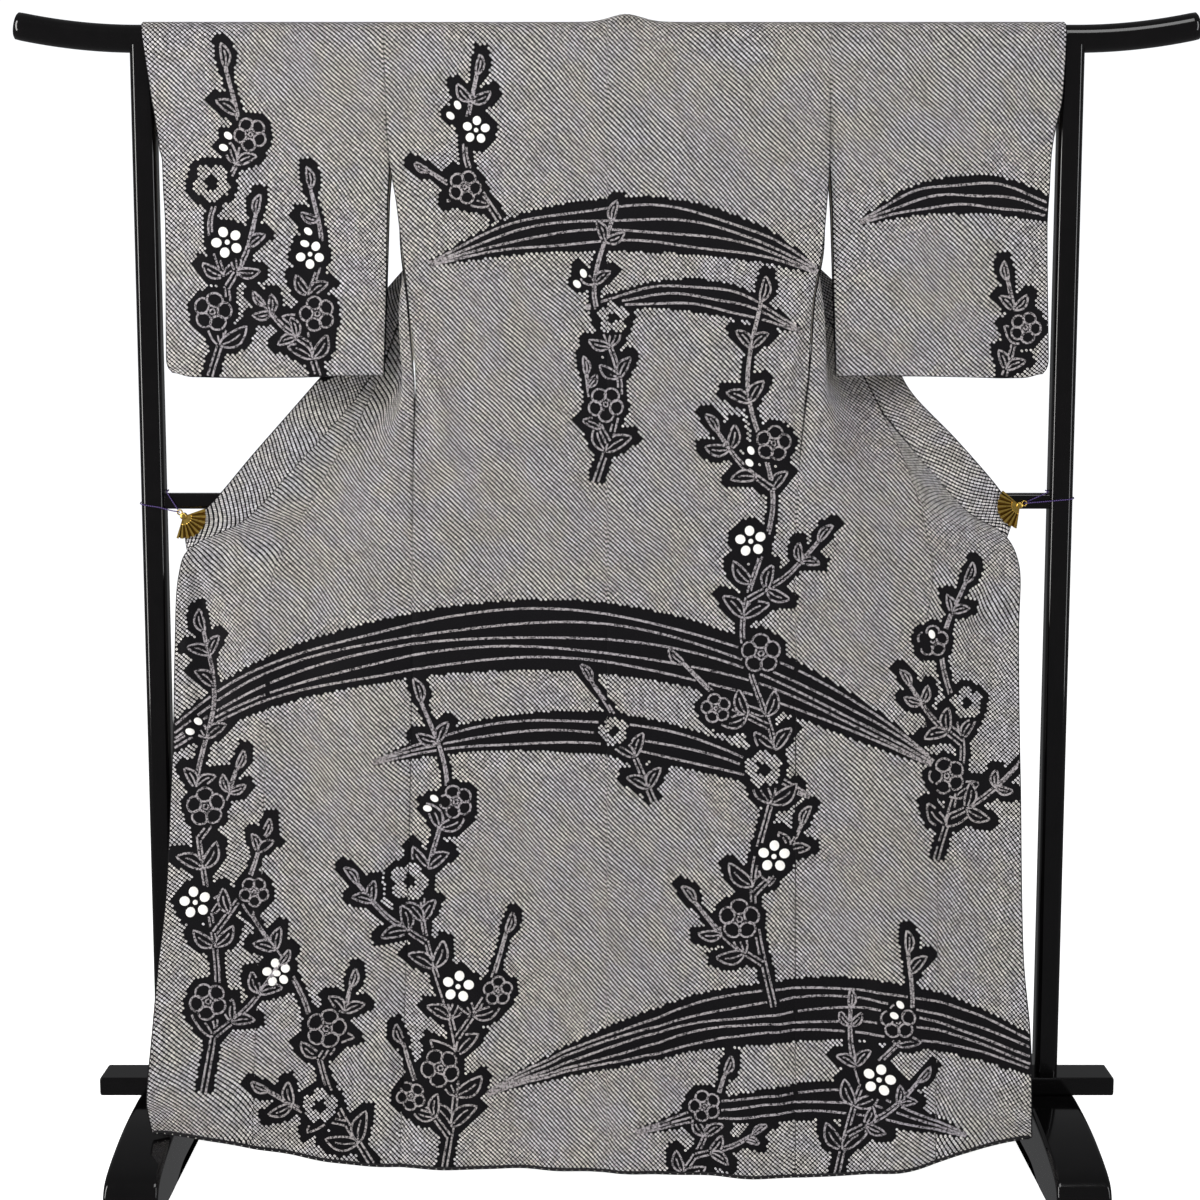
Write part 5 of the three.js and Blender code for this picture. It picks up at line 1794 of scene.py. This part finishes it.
for side in ("left", "right"):
    c = CLIPS[side]
    clip = make_mesh(f"fan_clip_{side}", *fan(side), smooth=False)
    outward(clip)
    finish_piece(clip, GILT, f"clip_{side}")
    pin = tube_mesh(f"fan_pin_{side}", [(c["x"], CLIP_Y + 3.9, c["z"]), (c["x"], CLIP_Y - 5.4, c["z"]),
                                        (c["x"], CLIP_Y - 6.2, c["z"])], [4.6, 4.6, 3.4], 24)
    plain_uv(pin)
    finish_piece(pin, GILT)
    mid = math.radians((c["from"] + c["to"]) / 2)
    a = np.linspace(0, 2 * math.pi, 25)[:-1]
    centre = np.array([c["x"] - 7.6 * math.cos(mid), CLIP_Y - 0.5, c["z"] + 7.6 * math.sin(mid)])
    ring_path = centre + 3.4 * np.stack([np.cos(a), 0 * a, np.sin(a)], 1)
    ring = tube_mesh(f"fan_ring_{side}", ring_path, 1.0, 10, closed=True)
    plain_uv(ring)
    finish_piece(ring, GILT)
    x0 = abs(centre[0])
    top = MID_Z + MID_TALL / 2 + 3
    points = [(sign_of(side) * ((x0 if kind == "ring" else POST_X) + d), y, lerp(centre[2], top, h))
              for kind, d, y, h in CORD_ROUTE]
    path = along(np.array(points), np.linspace(0, 1, 90))
    length = float(steps(path[:, None], 0)[-1, 0]) / 1000
    cord = tube_mesh(f"clip_cord_{side}", path, 0.8, 8)
    finish_piece(cord, CORDED, f"cord_{side}")
    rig.cord(cord, exit=tuple(v / 1000 for v in path[0]), length=length, diameter=0.0016, far_end="object",
            stiffness="limp", lay="taut", path=[tuple(p / 1000) for p in path])

for piece, name, side in SHEETS:
    flat, held, rest, area = FLAT[name]
    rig.sheet(piece, flat=flat, held=held, rests_on=[rest + side if rest.endswith("_") else rest], area=area)


# ---------------------------------------------------------------- room, light and camera
def floor():
    mesh = bpy.data.meshes.new("studio_floor")
    mesh.from_pydata([(x, y, -0.0005) for x, y in ((-9, -9), (9, -9), (9, 9), (-9, 9))], [], [(0, 1, 2, 3)])
    obj = placed("studio_floor", mesh)
    m = Nodes("studio_paper")
    m.set(Base_Color=(0.86, 0.86, 0.86), Roughness=0.9, Emission_Color=(1.0, 1.0, 1.0), Emission_Strength=1.0)
    obj.data.materials.append(m.mat)
    obj.visible_glossy = False
    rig.stage(obj)


floor()


def softbox(name, place, target, width, height, power, colour=(1.0, 1.0, 1.0)):
    light = bpy.data.lights.new(name, "AREA")
    light.shape = "RECTANGLE"
    light.size = width
    light.size_y = height
    light.energy = power
    light.color = colour
    obj = placed(name, light)
    obj.location = place
    obj.rotation_euler = (Vector(target) - Vector(place)).to_track_quat("-Z", "Y").to_euler()


softbox("strip_left", (-2.7, -1.75, 1.9), (0, 0, 1.75), 0.6, 3.4, 86, (1.0, 0.985, 0.965))
softbox("strip_right", (2.8, -1.95, 1.8), (0, 0, 1.7), 0.5, 3.2, 32, (0.97, 0.98, 1.0))
softbox("overhead", (0.2, -1.5, 3.5), (0, 0.0, 1.2), 2.2, 1.0, 34)

# Plain air: dim for lighting, white to the camera
world = bpy.data.worlds.new("studio_air")
bpy.context.scene.world = world
world.use_nodes = True
air = world.node_tree.nodes["Background"]
air.inputs[0].default_value = (0.97, 0.98, 1.0, 1)
seen = world.node_tree.nodes.new("ShaderNodeLightPath")
strength = world.node_tree.nodes.new("ShaderNodeMapRange")
strength.inputs["To Min"].default_value = 0.15
strength.inputs["To Max"].default_value = 1.1
world.node_tree.links.new(seen.outputs["Is Camera Ray"], strength.inputs["Value"])
world.node_tree.links.new(strength.outputs["Result"], air.inputs[1])

bpy.context.scene.view_settings.view_transform = "Standard"
camera = bpy.data.cameras.new("photo_view")
camera.lens = 63.33
camera.sensor_width = 36
view = placed("photo_view", camera)
view.location = (-0.010, -3.0, 1.186)
view.rotation_euler = (math.radians(83), 0, 0)
bpy.context.scene.camera = view

with open("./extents.json", "w") as out:
    json.dump({"cad": CAD_BOX, "visual": [list(corner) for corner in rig.bounds()]}, out)
